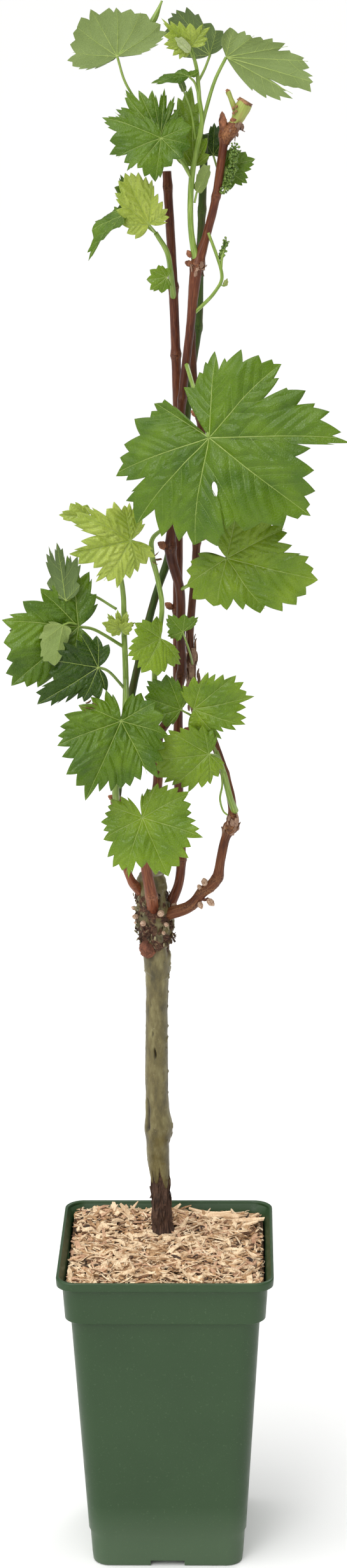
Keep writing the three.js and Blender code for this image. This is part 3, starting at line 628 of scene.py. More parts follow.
def tube(path, spacing, sides, relief=None):
    """A round limb along a path. relief gives how far each point stands out, from its place,
    its angle round the limb and its distance along it. Returns points, faces and the grain,
    which is the place on the straightened limb."""
    centres, radii = smooth_path(path, spacing)
    along = np.gradient(centres, axis=0)
    along /= np.linalg.norm(along, axis=1)[:, None]
    side = np.array((1.0, 0, 0))
    angles = np.arange(sides) * 2 * math.pi / sides
    outs = []
    for direction in along:
        side = side - direction * side.dot(direction)
        side /= np.linalg.norm(side)
        up = np.cross(direction, side)
        outs.append(np.outer(np.cos(angles), side) + np.outer(np.sin(angles), up))
    outs = np.array(outs)
    points = centres[:, None] + outs * radii[:, None, None]
    steps = np.linalg.norm(np.diff(centres, axis=0), axis=1)
    distance = np.repeat(np.append(0, np.cumsum(steps)), sides)
    turn = np.tile(angles, len(centres))
    middle = radii.mean()
    grain = np.column_stack((np.cos(turn) * middle, np.sin(turn) * middle, distance))
    if relief:
        points = points + outs * relief(points.reshape(-1, 3), turn, distance).reshape(-1, sides, 1)
    cap_shares = (0.6, 0.0)
    first = [centres[0] + (points[0] - centres[0]) * share for share in cap_shares[::-1]]
    last = [centres[-1] + (points[-1] - centres[-1]) * share for share in cap_shares]
    points = np.concatenate((first, points, last)).reshape(-1, 3)
    grain = np.vstack((grain[:sides], grain[:sides], grain, grain[-sides:], grain[-sides:]))
    rows = len(points) // sides
    i, k = np.divmod(np.arange((rows - 1) * sides), sides)
    a, b = i * sides + k, i * sides + (k + 1) % sides
    return points, np.column_stack((a, b, b + sides, a + sides)).tolist(), grain


def trunk_zones(points, turn):
    """How far each point of the trunk is under wax, in a crack, and in the rough head."""
    z = points[:, 2]
    ring = np.column_stack((np.cos(turn), np.sin(turn), np.zeros_like(turn)))
    wander = value_noise(ring * 2.3 + (0, 0, 7), 31)
    tongues = (0.5 + 0.5 * np.cos(7 * turn + 2.4 * wander)) ** 0.3
    left = np.maximum(0, -np.cos(turn)) ** 3
    drip_edge = DRIP_EDGE - 15 * tongues + 4 * wander + 9 * left
    head = smoothstep(HEAD_FOOT, HEAD_FOOT + 9, z + 4 * value_noise(points / 6, 32))
    sawn = smoothstep(STUB_FOOT, STUB_FOOT + 5, z)
    patches = smoothstep(-0.2, 0.1, fractal(points / 7, 33, 3) + 0.25 * (z > 466) - 0.05)
    wax = smoothstep(-0.5, 0.5, z - drip_edge) * (1 - head * (1 - patches) * (1 - sawn))
    crack = np.zeros_like(z)
    for angle, low, high, width in TRUNK_CRACKS:
        bend = 0.7 * value_noise(np.column_stack((z / 6, z * 0, z * 0 + angle)), 34)
        across = np.angle(np.exp(1j * (turn - math.radians(angle)))) * CRACKED_RADIUS - bend
        span = smoothstep(low, low + 4, z) * (1 - smoothstep(high - 6, high, z))
        here = np.exp(-(across / (width * (0.25 + 0.75 * span))) ** 2) * (span > 0.02) * span
        crack = np.maximum(crack, here)
    return wax, crack, head * (1 - sawn)


def trunk_relief(points, turn, distance):
    """Split bark below, a smooth coat of wax with warts and a lip above it, and knobs on the head."""
    wax, crack, head = trunk_zones(points, turn)
    z = points[:, 2]
    strips = 1 - np.abs(fractal(points / (2.6, 2.6, 26), 35, 3)) * 2
    fibre = value_noise(points / (0.9, 0.9, 9), 36)
    bark = 0.55 * strips ** 3 - 0.3 + 0.16 * fibre
    smooth = 0.35 * fractal(points / 11, 37, 2) + 0.07 * value_noise(points / 1.4, 38)
    warts = smoothstep(0.5, 0.8, value_noise(points / 2.6, 39)) * 0.7 * np.maximum(0.15, np.cos(turn))
    above = z - SECOND_COAT - 2.5 * np.sin(turn * 2 + 0.5)
    coat = 0.5 * wax * smoothstep(-0.6, 0.6, above + 0.5)
    lip = 0.3 * np.exp(-(above / 0.8) ** 2)
    knobs = 2.3 * fractal(points / 6.5, 40, 4) + 0.7 * np.abs(value_noise(points / 1.6, 41))
    coated = 0.75 + smooth + warts + coat + lip
    relief = bark * (1 - wax) + coated * wax
    return relief * (1 - head) + head * (knobs + 0.5 * wax - 0.4) - 2.6 * crack


def attribute(material, name, output="Fac"):
    """A value that a mesh keeps at each of its points."""
    return node(material, "Attribute", {"attribute_name": name}).outputs[output]


def stretched(material, place, length):
    """A place squeezed along its third axis, which draws a pattern out into streaks."""
    return node(material, "Mapping", Vector=place, Scale=(1, 1, length)).outputs["Vector"]


trunk_points, trunk_faces, trunk_grain = tube(TRUNK_PATH, TRUNK_SPACING, TRUNK_SIDES, trunk_relief)
trunk_turn = np.arctan2(trunk_grain[:, 1], trunk_grain[:, 0])
wax, crack, head = trunk_zones(trunk_points, trunk_turn)
trunk_bark = new_material("trunk_bark")
place = attribute(trunk_bark, "grain", "Vector")
strands = noise(trunk_bark, stretched(trunk_bark, place, 0.08), 1.1, 5, 0.7)
dark_bark = ramp(
    trunk_bark, strands, (0.3, paint(30, 19, 13)), (0.5, paint(66, 44, 33)), (0.68, paint(112, 84, 66)))
crumbs = noise(trunk_bark, place, 1.5, 5, 0.75)
head_bark = ramp(
    trunk_bark, crumbs, (0.36, paint(30, 15, 8)), (0.52, paint(74, 43, 28)), (0.68, paint(128, 98, 74)))
bare = mix(trunk_bark, attribute(trunk_bark, "head"), dark_bark, head_bark)
stain = noise(trunk_bark, stretched(trunk_bark, place, 0.35), 6, 4, 0.65)
wax_body = ramp(
    trunk_bark, stain, (0.3, paint(66, 59, 30)), (0.5, paint(98, 88, 48)), (0.7, paint(128, 120, 78)))
specks = ramp(trunk_bark, noise(trunk_bark, place, 0.9, 3, 0.6), (0.66, 0.0), (0.74, 0.8))
wax_body = mix(trunk_bark, specks, wax_body, paint(160, 154, 124))
coated = mix(trunk_bark, attribute(trunk_bark, "wax"), bare, wax_body)
coated = mix(trunk_bark, attribute(trunk_bark, "crack"), coated, paint(30, 18, 12))
waxiness = attribute(trunk_bark, "wax")
dullness = node(trunk_bark, "MapRange", Value=waxiness, To_Min=0.9, To_Max=0.42).outputs[0]
fine = bump(trunk_bark, noise(trunk_bark, place, 0.7, 4, 0.7), 0.35, 0.3)
surface(trunk_bark, Base_Color=coated, Roughness=dullness, Normal=fine)
add_piece(
    "trunk_wood", trunk_points, trunk_faces, trunk_bark, "bark", ("trunk",),
    grain=trunk_grain, wax=wax, crack=crack, head=head)


# Bark flakes, buds and twig of the head
# Loose flakes of old bark stand off the head. Pale downy buds have broken through between them and
# along the right arm, and a dead twig is left behind the stub.

flake_random = np.random.default_rng(50)


def places_on(path, spacing, count, low, high, inmost, outmost, random):
    """Places round a limb between two heights, and their angles. inmost and outmost are how far they
    stand off it."""
    centres, radii = smooth_path(path, spacing)
    z = random.uniform(low, high, count)
    azimuth = random.uniform(0, 2 * math.pi, count)
    far = np.interp(z, centres[:, 2], radii) + random.uniform(inmost, outmost, count)
    x, y = (np.interp(z, centres[:, 2], centres[:, axis]) for axis in range(2))
    return np.column_stack((x + far * np.cos(azimuth), y + far * np.sin(azimuth), z)), azimuth


def scatter_flakes(name, count, low, high, length_range, stand, wood, slender=(0.35, 0.75), loose=0.45):
    """Flakes on the trunk between two heights, standing off it by up to stand. wood is their darkest
    and palest colour, slender how wide they are for their length, and loose how far they lean."""
    centres, azimuth = places_on(TRUNK_PATH, TRUNK_SPACING, count, low, high, -0.6, stand, flake_random)
    lengths = flake_random.uniform(*length_range, count)
    yaws = azimuth + flake_random.normal(0, 0.5, count)
    tilts = math.pi / 2 + flake_random.normal(0, loose, count)
    rolls = flake_random.normal(0, 0.5, count)
    widths = lengths * flake_random.uniform(*slender, count)
    heights = flake_random.uniform(0.3, 0.8, count)
    points, faces = chip_mesh(centres, yaws, tilts, rolls, lengths, widths, heights, flake_random)
    add_piece(name, points, faces, chip_material(*wood), "bark", smooth=False)


DARK_FLAKES = ("flake_dark", paint(26, 15, 8), paint(78, 52, 32))
GREY_FLAKES = ("flake_grey", paint(88, 80, 54), paint(146, 136, 104))
BARK_STRIPS = ("strip_bark", paint(40, 26, 18), paint(92, 66, 50))
scatter_flakes("flakes_dark", 150, 440, 479, (1.6, 4.6), 2.0, DARK_FLAKES)
scatter_flakes("flakes_grey", 90, 442, 480, (1.2, 3.4), 2.4, GREY_FLAKES)
scatter_flakes("bark_strips", 90, 226, 262, (8, 20), 0.1, BARK_STRIPS, (0.06, 0.16), 0.08)

DOWN_BROWNS = ((0.34, paint(116, 80, 58)), (0.5, paint(176, 144, 118)), (0.66, paint(218, 196, 174)))
bud_down = crumbly_material("bud_down", 0.8, 4, DOWN_BROWNS, 0.9, 0.6, 0.4)


def bud_relief(points, turn, distance):
    """Overlapping scales that wind round a bud."""
    return 0.12 * np.abs(np.sin(turn * 1.5 + distance * 1.8)) + 0.07 * value_noise(points / 0.9, 51)


def joined(parts):
    """Several meshes as one list of points and one of faces. What else a mesh comes with is left out."""
    points, faces, start = [], [], 0
    for more, loops, *rest in parts:
        points.append(more)
        faces += [tuple(corner + start for corner in loop) for loop in loops]
        start += len(more)
    return np.vstack(points), faces


# How far along a bud each ring of it lies, and how wide it is there, as shares of its length.
BUD_SHAPE = ((0, 0.2), (0.25, 0.34), (0.55, 0.36), (0.82, 0.22), (1, 0.05))


def add_buds(name, buds, material, slot):
    """Each bud is its foot, the way it points, its length and, where it is slim, how stout it is."""
    parts = []
    for foot, toward, length, *stoutness in buds:
        foot, toward = np.array(foot, dtype=float), np.array(toward, dtype=float)
        toward /= np.linalg.norm(toward)
        girth = length * (stoutness[0] if stoutness else 1)
        path = [(*(foot + toward * share * length), radius * girth) for share, radius in BUD_SHAPE]
        parts.append(tube(path, 0.4, 14, bud_relief))
    add_piece(name, *joined(parts), material, slot)


add_buds("head_buds", (
    ((-18.0, 10, 462.0), (-0.8, -0.6, 0.2), 5.0), ((-13.6, 3.4, 459.5), (-0.3, -1, 0.2), 5.4),
    ((-19.5, 12, 467), (-1, -0.2, 0.5), 3.6), ((-2.6, 1.5, 466.5), (0.2, -1, 0.5), 6.4),
    ((0.8, 3, 459.0), (0.5, -1, 0), 4.2), ((-0.6, 2.2, 453.5), (0.2, -1, -0.2), 3.6),
    ((5.0, 12, 469), (1, 0, 0.4), 4.0),
    ((-11, 26, 464), (-0.4, 1, 0.3), 5.0), ((0, 26, 457), (0.5, 1, 0.2), 4.6),
    ((3, 22, 470), (0.7, 0.7, 0.4), 4.8), ((-17, 18, 455), (-1, 0.3, 0), 4.4),
), bud_down, "bark")
add_buds("arm_buds", (
    ((28.6, -1, 488.0), (-0.2, -0.4, 1), 6.2), ((30.2, -1.5, 478.0), (0.6, -0.4, -0.5), 6.4),
    ((24.4, -1, 476.0), (0.4, -0.5, -1), 5.2), ((25.4, 0, 485), (-0.5, -0.5, 1), 4.4),
), bud_down, "bark")

knob_wood = chip_material("knob_wood", paint(56, 28, 20), paint(132, 80, 56))


def knob_relief(points, turn, distance):
    """Rough lumps of old wood."""
    return 1.4 * fractal(points / 2.2, 52, 4)


for name, path, spacing, sides, relief in (
    ("head_knob", ((-9, 9, 436, 3), (-11.5, 5, 439, 5), (-13, 2.5, 443, 4.6), (-13.5, 1.8, 446, 2)),
     0.5, 30, knob_relief),
    ("head_twig", ((3.4, 14, 472, 0.8), (6.3, 12, 481, 0.6), (9, 11, 488, 0.5)), 1, 8, None),
    ("arm_spur", ((25, 1, 479, 1.4), (28, -0.6, 477.4, 1.1), (30.6, -1.4, 478.6, 1)), 0.6, 12, None),
):
    points, faces, grain = tube(path, spacing, sides, relief)
    add_piece(name, points, faces, knob_wood, "bark")


# Canes
# Last year's shoots, woody and 5 to 9 mm thick, with fine striped bark and a swollen node every
# 60 to 100 mm. The front and right ones are red brown, and the one from the left arm is still green.

cane_bark, bark_in, bark_out = effect(
    "cane_bark",
    {"Grain": "Vector", "Node": "Float", "Age": "Float",
     "Dark": "Color", "Body": "Color", "Pale": "Color", "Blotch": "Color"},
    {"Colour": "Color", "Fibres": "Float"},
)
fibres = noise(cane_bark, stretched(cane_bark, bark_in["Grain"], 0.05), 0.6, 4, 0.7)
patches = noise(cane_bark, stretched(cane_bark, bark_in["Grain"], 0.3), 5, 3, 0.6)
rough = noise(cane_bark, bark_in["Grain"], 1.1, 4, 0.7)
striped = mix(cane_bark, ramp(cane_bark, fibres, (0.34, 0.3), (0.5, 1.0)), bark_in["Dark"], bark_in["Body"])
striped = mix(cane_bark, ramp(cane_bark, fibres, (0.52, 0.0), (0.7, 0.65)), striped, bark_in["Pale"])
blotched = mix(cane_bark, ramp(cane_bark, patches, (0.5, 0.0), (0.64, 0.75)), striped, bark_in["Blotch"])
scar = mix(cane_bark, ramp(cane_bark, rough, (0.4, 0.0), (0.62, 1.0)), bark_in["Dark"], bark_in["Pale"])
scarred = mix(cane_bark, bark_in["Node"], blotched, scar)
# Darkens the bark by height: partly older bark, and partly painted shade where foliage hangs in front of
# the cane.
aged = mix(cane_bark, bark_in["Age"], scarred, paint(122, 96, 90), "MULTIPLY")
connect(cane_bark, aged, bark_out["Colour"])
connect(cane_bark, fibres, bark_out["Fibres"])


def cane_material(name, dark, body, pale, blotch, dullness):
    """Striped bark: fine fibres along the cane over a slow change of colour, and scars at its nodes."""
    material = new_material(name)
    bark = placed(
        material, cane_bark, Grain=attribute(material, "grain", "Vector"), Node=attribute(material, "node"),
        Age=attribute(material, "age"), Dark=dark, Body=body, Pale=pale, Blotch=blotch)
    surface(
        material,
        Base_Color=bark["Colour"],
        Roughness=ramp(material, bark["Fibres"], (0.3, dullness), (0.7, dullness + 0.18)),
        Specular_IOR_Level=0.3,
        Normal=bump(material, bark["Fibres"], 0.25, 0.14),
    )
    return material


NODE_REACH = 3.2


def add_cane(name, path, nodes, material, slot="cane", replaced=(), age=((0, 0),)):
    """A cane with a swollen node at each of some heights, given with how far it swells. The last
    argument says how dark the bark is at some heights: partly older bark, and partly painted shade
    where foliage hangs in front of the cane."""
    def node_share(points):
        share = np.zeros(len(points))
        for height, swell in nodes:
            wave = 0.8 * value_noise(points / 2, 61)
            share = np.maximum(share, np.exp(-((points[:, 2] - height + wave) / NODE_REACH) ** 2) * swell)
        return share

    def relief(points, turn, distance):
        strands = np.column_stack((np.cos(turn) * 4, np.sin(turn) * 4, distance / 14))
        stripes = 0.04 * value_noise(strands, 62) + 0.03 * value_noise(strands * 2.3, 63)
        lumps = 0.12 * fractal(points / 9, 64, 2)
        share = node_share(points)
        ridge = 0.35 * share * value_noise(points / 1.1, 65)
        return stripes + lumps + share + ridge

    points, faces, grain = tube(path, 0.9, 26, relief)
    add_piece(
        name, points, faces, material, slot, replaced,
        grain=grain, node=np.minimum(1, node_share(points) * 0.8), age=np.interp(points[:, 2], *zip(*age)))


red_bark = cane_material(
    "red_bark", paint(54, 22, 12), paint(124, 66, 38), paint(178, 120, 80), paint(86, 38, 22), 0.3)
brown_bark = cane_material(
    "brown_bark", paint(50, 25, 13), paint(116, 64, 34), paint(182, 130, 82), paint(74, 36, 20), 0.42)
green_bark = cane_material(
    "green_bark", paint(30, 46, 8), paint(52, 74, 16), paint(88, 112, 38), paint(70, 60, 24), 0.4)

add_cane("front_cane", (
    (-7.6, 8, 467, 4.6), (-8.2, -1, 479, 4), (-11.7, -8, 509, 3.7), (-6.8, -6, 535, 3.5),
    (-3.1, -4, 564, 3.3), (-2, -2, 594, 3.2), (4.5, -2, 606, 3.1), (13.3, -3, 636.5, 3), (13.1, -4, 663, 3),
    (12.9, -6, 694.5, 3), (6.8, -8, 721, 3.6), (9.5, -6, 750, 2.9), (15.1, -5, 822, 2.8),
    (20.8, -4, 870, 2.8), (25.4, -4, 909, 4.1), (31.5, -4, 928.5, 2.8), (37.3, -4, 950.5, 2.7),
    (42.4, -4, 983, 2.7), (43.8, -4, 992, 3.6), (43.4, -4, 998, 3),
), (
    (480, 0.6), (553, 0.7), (636, 0.7), (724, 0.8), (822, 0.5), (910, 0.9), (954, 0.5), (992, 0.8),
), red_bark, replaced=("front_cane_low", "front_cane_middle", "front_cane_high"), age=(
    (540, 0), (600, 0.6), (645, 0.8), (840, 0.8), (890, 0.45), (998, 0.4),
))
add_cane("right_arm_wood", (
    (-3, 12, 461, 4.8), (4.5, 8, 465, 4.2), (16.6, 4, 470.5, 3.8), (27.4, 1, 483, 3.5),
    (36.2, -1, 492, 3.7), (39.3, -2, 507, 3.2), (42.6, -2, 522, 3.2), (46.2, -2, 530, 4.6),
    (48.4, -2, 536.5, 3.4),
), (
    (472, 0.5), (484, 0.8), (493, 0.5), (529, 0.9),
), brown_bark, replaced=("right_arm",), age=((461, 0.35), (540, 0.25)))
add_cane("right_cane", (
    (48, -2, 533.5, 3.1), (46.4, 0, 549.5, 2.9), (42.2, 4, 565.5, 2.8), (31, 8, 598.5, 2.7),
    (20.8, 10, 629, 2.6), (20, 10, 636, 2.6), (18.8, 10, 661, 2.7), (20.8, 10, 684, 2.6),
    (24, 10, 725, 2.6), (27.6, 10, 798, 2.6), (22.8, 10, 829, 2.6), (20.9, 11, 872, 2.5),
), (
    (537, 0.5), (566, 0.5), (640, 0.8), (725, 0.6), (808, 0.6), (862, 0.4),
), brown_bark, replaced=("right_cane_low", "right_cane_high"), age=(
    (533, 0.1), (560, 0.35), (620, 0.6), (872, 0.65),
))
add_cane("tall_cane_wood", (
    (-2, 16, 460, 4), (4.6, 18.5, 470, 3.7), (10.6, 20, 486, 3.3), (10.4, 20, 556, 3.2),
    (10.4, 21, 657, 3.2), (11.8, 21, 787, 3.1), (9.3, 20, 893, 3), (5.7, 20, 968, 2.9),
), (
    (500, 0.7), (588, 0.7), (676, 0.7), (764, 0.7), (848, 0.7), (893, 0.9), (958, 0.5),
), red_bark, replaced=("tall_cane",), age=((460, 0.2), (520, 0.5), (968, 0.6)))
add_cane("left_arm_wood", (
    (-12, 12, 474, 3.4), (-18.6, 8, 483, 3), (-24.4, 2, 496, 2.7), (-30.4, 0, 529, 2.6),
    (-31.5, 0, 546, 3.6), (-31.6, 0.5, 551, 3),
), (
    (486, 0.5), (547, 0.7),
), red_bark, replaced=("left_arm",))
add_cane("green_cane", (
    (-31.7, 2, 547, 2.8), (-27.5, 8, 580.5, 2.7), (-21.6, 13, 616, 2.6), (-5.2, 24, 682, 2.6),
    (4.8, 31, 712, 2.6), (14.5, 31.5, 778, 2.6), (20.4, 29, 832.5, 2.5), (25.6, 24, 866.5, 2.5),
    (27.2, 15, 916.5, 2.5), (28.6, 12, 943.5, 2.5), (30.6, 11, 992, 2.5),
), (
    (584, 0.7), (652, 0.7), (716, 0.7), (790, 0.6), (866, 0.6), (943, 0.5),
), green_bark, "green_wood", ("green_cane_low", "green_cane_high"))


# Stub, buds and loose bark of the canes
# The front cane ends in a pale green club, cut off when the vine was pruned, with a thin stub and
# brown scars beside it. Brown pointed buds sit at the nodes, and the outer bark peels off in strips.

stub_green = cane_material(
    "stub_green", paint(134, 144, 66), paint(152, 162, 80), paint(174, 182, 106), paint(156, 136, 82), 0.4)
add_cane("top_stub_wood", (
    (46.5, -4, 995.5, 3.2), (50.6, -4, 1000.5, 3.5), (53, -4, 1005, 4.5), (55.2, -4, 1009.5, 5.1),
    (56.9, -4, 1012.6, 4.8),
), ((997, 0.3),), stub_green, "green_wood", ("top_stub",))
add_cane("top_node", (
    (43.4, -4, 987, 3.2), (44.8, -4, 992, 4.6), (47.8, -4, 996, 4.4), (50.8, -4, 999.6, 3.7),
), ((993, 0.5), (997, 0.5)), brown_bark)
add_cane("small_stub", (
    (50.5, -4.5, 1007.5, 1.8), (49, -4.8, 1012, 1.7), (47.2, -5, 1016.5, 1.4), (45.8, -5, 1020, 1.5),
), ((1020, 0.2),), stub_green, "green_wood")
scar_wood = chip_material("scar_wood", paint(92, 52, 30), paint(164, 122, 84))
stub_cuts = (
    ((56.6, -4, 1012.2, 4.5), (57, -4, 1013, 4.8), (57.6, -4, 1014, 3.9)),
    ((45.9, -5, 1019.8, 1.3), (45.5, -5, 1021, 1.5), (45.3, -5, 1021.6, 1)),
)
add_piece("stub_cuts", *joined([tube(path, 0.4, 24, knob_relief) for path in stub_cuts]), scar_wood, "cane")
add_buds("stub_scars", (
    ((49.6, -7.6, 1006.4), (-0.2, -1, 0.1), 2.6), ((51, -8, 1007.6), (0, -1, 0.2), 2.2),
    ((49.4, -6.4, 1009.4), (-0.3, -1, 0.2), 2.2), ((51.2, -7, 1010.4), (0.1, -1, 0.3), 2.4),
), scar_wood, "cane")
cane_bud = chip_material("cane_bud", paint(74, 40, 26), paint(166, 108, 74))
add_buds("cane_buds", (
    ((42.8, -5, 994.6), (-0.06, -0.1, 1), 13.0, 0.55), ((22.2, -5, 910), (-0.9, -0.5, 0.4), 5.6),
    ((21.4, -4.5, 915), (-0.5, -0.4, 1), 5.2), ((4.6, -8, 724), (-1, -0.2, 0.6), 7.4),
    ((13.5, 20, 590), (1, 0.2, 0.7), 6.4), ((7.3, 20, 677), (-1, 0.1, 0.7), 6.4),
    ((14, 20, 765), (1, 0.2, 0.7), 6.4), ((6.6, 20, 894), (-1, -0.2, 0.8), 7.0),
    ((26.5, 11, 726), (1, 0.3, 0.7), 6.0), ((25, 10.5, 809), (-1, 0.2, 0.8), 5.6),
    ((-8.5, 24, 655), (-0.6, 0.5, 0.8), 5.2), ((-32.8, 0, 549), (-1, -0.3, 0.6), 5.2),
    ((48, -3, 1001), (0.6, -0.9, 0.3), 6),
), cane_bud, "cane")

PEEL_THICKNESS = 0.25
peel_random = np.random.default_rng(70)
peel_bark = chip_material("peel_bark", paint(96, 66, 50), paint(166, 134, 112))


def add_peel(name, count, low, high, length_range, lean, path):
    """Strips that have come loose from a cane between two heights. lean is how far they lean."""
    centres, azimuth = places_on(path, 1.0, count, low, high, 0, 1.0, peel_random)
    lengths = peel_random.uniform(*length_range, count)
    yaws = azimuth + peel_random.normal(0, 0.3, count)
    tilts = math.pi / 2 + peel_random.normal(0, lean, count)
    rolls = peel_random.normal(0, 0.25, count)
    widths = peel_random.uniform(1.2, 3.6, count)
    points, faces = chip_mesh(
        centres, yaws, tilts, rolls, lengths, widths, np.full(count, PEEL_THICKNESS), peel_random)
    add_piece(name, points, faces, peel_bark, "cane", smooth=False)


add_peel("right_cane_peel", 46, 611, 660, (5, 16), 0.16, (
    (20.8, 10, 629, 2.9), (20, 10, 640, 3.1), (18.8, 10, 661, 2.9),
))
add_peel("front_node_peel", 26, 904, 915, (3, 6), 0.5, (
    (25, -4, 904, 3.6), (25.4, -4, 909, 4.6), (27, -4, 914, 3.6),
))
add_peel("top_node_peel", 34, 991, 1000, (2.5, 6), 0.5, (
    (46, -4, 991, 4), (49, -4, 996.5, 4.6), (52, -4, 1001, 3.8),
))
add_peel("right_node_peel", 30, 525, 537, (3, 7), 0.4, (
    (45, -2, 526, 4), (46.2, -2, 530, 5), (48, -2, 536, 3.8),
))


# Low leaf
# The lowest leaf hangs in front of the cane just above the head, on a stalk that curves down. Like
# every leaf of the vine it has veins from the end of its stalk to its lobes, finer veins from those
# to its toothed rim, and a thin blade that bulges between them. All the foliage grows by these rules.

TOOTH_PITCH = 0.15
SINUS_DEPTH = 0.3
FULL_SINUS = math.radians(50)
BASE_REACH = 0.14
VEIN_ANGLE = math.radians(47)
VEIN_STEP = 0.031
VEIN_CURL = 0.022
VEIN_END = 0.985


def leaf_axes(leaf):
    """The three directions of a leaf: along its middle vein, to its left and out of its upper face."""
    aim, lean, roll = (math.radians(leaf.get(key, 0)) for key in ("aim", "lean", "roll"))
    along = Vector((math.cos(aim) * math.cos(lean), -math.sin(lean), math.sin(aim) * math.cos(lean)))
    face = Vector((0, -1, 0))
    face = (face - along * face.dot(along)).normalized()
    face = Matrix.Rotation(roll, 3, along) @ face
    return np.array((along, face.cross(along), face))


def flank(tip, notch, size, random):
    """The rim from just past one tooth's tip to the notch after it, as angles and reaches, with
    smaller teeth where it is long."""
    span = notch[0] - tip[0]
    length = size * math.hypot(tip[1] - notch[1], abs(span) * (tip[1] + notch[1]) / 2)
    teeth = max(0, round(length / (1.2 + TOOTH_PITCH * size)) - 1)
    rows = []
    for k in range(teeth):
        depth = min(0.1, 0.6 * length / size / (teeth + 1)) * random.uniform(0.75, 1.2)
        low, high = (k + 0.55) / (teeth + 0.8), (k + 0.9) / (teeth + 0.8)
        for share, rise in ((low, -0.6 * depth), (high, 0.4 * depth)):
            reach = notch[1] + (tip[1] * 0.97 - notch[1]) * (1 - share) ** 0.62
            rows.append((tip[0] + span * share, reach + rise))
    return rows + [notch]


def half_rim(lobes, room, size, random):
    """The rim of one half of a leaf from its point to its base. A lobe is its angle, its reach and,
    where they are known, the reach and the angle of the notch before it."""
    rows = []
    tip = (0, 1)
    for angle, reach, *low in lobes:
        lobe = (math.radians(angle), reach)
        gap = lobe[0] - tip[0]
        middle = (tip[1] + reach) / 2
        even = middle * (1 - SINUS_DEPTH * min(1, gap / FULL_SINUS))
        between = tip[0] + gap * random.uniform(0.44, 0.58)
        notch = (math.radians(low[1]) if len(low) > 1 else between, low[0] if low else even)
        rows += flank(tip, notch, size, random)
        rows += flank(lobe, notch, size, random)[-2::-1]
        rows.append(lobe)
        tip = lobe
    return rows + flank(tip, (tip[0] + room, BASE_REACH), size, random)


def leaf_rim(leaf, random):
    """Angles and reaches of the whole rim, from the right base round the point to the left base."""
    room = math.radians(min(26, (346 - leaf["right"][-1][0] - leaf["left"][-1][0]) / 2))
    size = leaf["size"]
    right = [(-angle, reach) for angle, reach in half_rim(leaf["right"], room, size, random)]
    rows = np.array(right[::-1] + [(0, 1)] + half_rim(leaf["left"], room, size, random))
    order = np.maximum.accumulate(rows[:, 0])
    rows[:, 0] = order + np.arange(len(order)) * 1e-5
    angles, reaches = [], []
    for (angle0, reach0), (angle1, reach1) in zip(rows[:-1], rows[1:]):
        length = size * math.hypot(reach1 - reach0, (angle1 - angle0) * (reach0 + reach1) / 2)
        steps = max(1, round(length / leaf_grain(size)))
        share = np.arange(steps) / steps
        from_tip = share if reach1 < reach0 else 1 - share
        drop = 0.5 * from_tip ** 0.8 + 0.5 * from_tip ** 1.4
        angles.append(angle0 + (angle1 - angle0) * share)
        reaches.append(max(reach0, reach1) - abs(reach1 - reach0) * drop)
    return np.append(np.concatenate(angles), rows[-1, 0]), np.append(np.concatenate(reaches), rows[-1, 1])


def leaf_grain(size):
    """The spacing of a leaf's mesh in millimetres."""
    return 0.7 + size * 0.0085


def leaf_veins(leaf, angles, reaches, random):
    """Veins as lists of points in the leaf's plane, each with its width at its root, in mm, and
    whether it is one of the main ones."""
    size = leaf["size"]

    def reach_at(angle):
        return np.interp(angle, angles, reaches)

    if "veins" in leaf:
        turns = sorted([0.0, *(math.radians(angle) for angle in leaf["veins"])])
        mains = [(turn, max(reach_at(turn + shift) for shift in (-0.06, 0, 0.06))) for turn in turns]
    else:
        mains = [(0.0, 1.0)]
        for sign, lobes in ((1, leaf["left"]), (-1, leaf["right"])):
            last = 0
            for angle, reach, *notch in lobes:
                if angle - last >= 26:
                    mains.append((sign * math.radians(angle), reach))
                    last = angle
        mains.sort()
    root = 0.16 + size * 0.0044
    veins = []
    for angle, reach in mains:
        share = np.linspace(0, VEIN_END, max(6, round(size * reach / 2)))
        bow = 0.035 * math.sin(angle) * np.sin(share * math.pi)
        turn = angle + bow
        veins.append((np.column_stack((np.cos(turn), np.sin(turn))) * (share * reach * size)[:, None],
                      root * (0.62 + 0.38 * reach), True))
    for index, (angle, reach) in enumerate(mains):
        for side in (1, -1):
            beside = index + side
            rim_end = angles[-1 if side > 0 else 0]
            limit = (angle + mains[beside][0]) / 2 if 0 <= beside < len(mains) else rim_end
            start = 0.14 + 0.06 * random.random() + (0.05 if side > 0 else 0)
            pitch = 0.135 if size > 50 else 0.15 if size > 20 else 0.2
            for share in np.arange(start, 0.9, pitch):
                share += random.uniform(-0.025, 0.025)
                point = np.array((math.cos(angle), math.sin(angle))) * reach * share
                heading = angle + side * VEIN_ANGLE * (1.2 - 0.4 * share + random.uniform(-0.1, 0.1))
                points = [point]
                for step in range(50):
                    heading -= side * VEIN_CURL
                    point = point + np.array((math.cos(heading), math.sin(heading))) * VEIN_STEP
                    turn, far = math.atan2(point[1], point[0]), math.hypot(*point)
                    if abs(turn - angle) > math.pi or far > 0.95 * reach_at(turn):
                        break
                    if side * (turn - limit) > -0.01 and far < 0.7:
                        break
                    points.append(point)
                if len(points) > 2:
                    veins.append((np.array(points) * size, root * 0.62 * (1 - 0.35 * share), False))
    return veins, np.array([angle for angle, reach in mains])


def nearest_vein(places, veins):
    """How far each place in the leaf's plane is from the nearest vein, in mm."""
    starts = np.vstack([points[:-1] for points, width, main in veins])
    spans = np.vstack([np.diff(points, axis=0) for points, width, main in veins])
    squares = np.maximum(np.sum(spans ** 2, axis=1), 1e-9)
    nearest = np.full(len(places), np.inf)
    for start, span, square in zip(starts, spans, squares):
        share = np.clip((places - start) @ span / square, 0, 1)
        away = places - start - share[:, None] * span
        nearest = np.minimum(nearest, np.sum(away ** 2, axis=1))
    return np.sqrt(nearest)


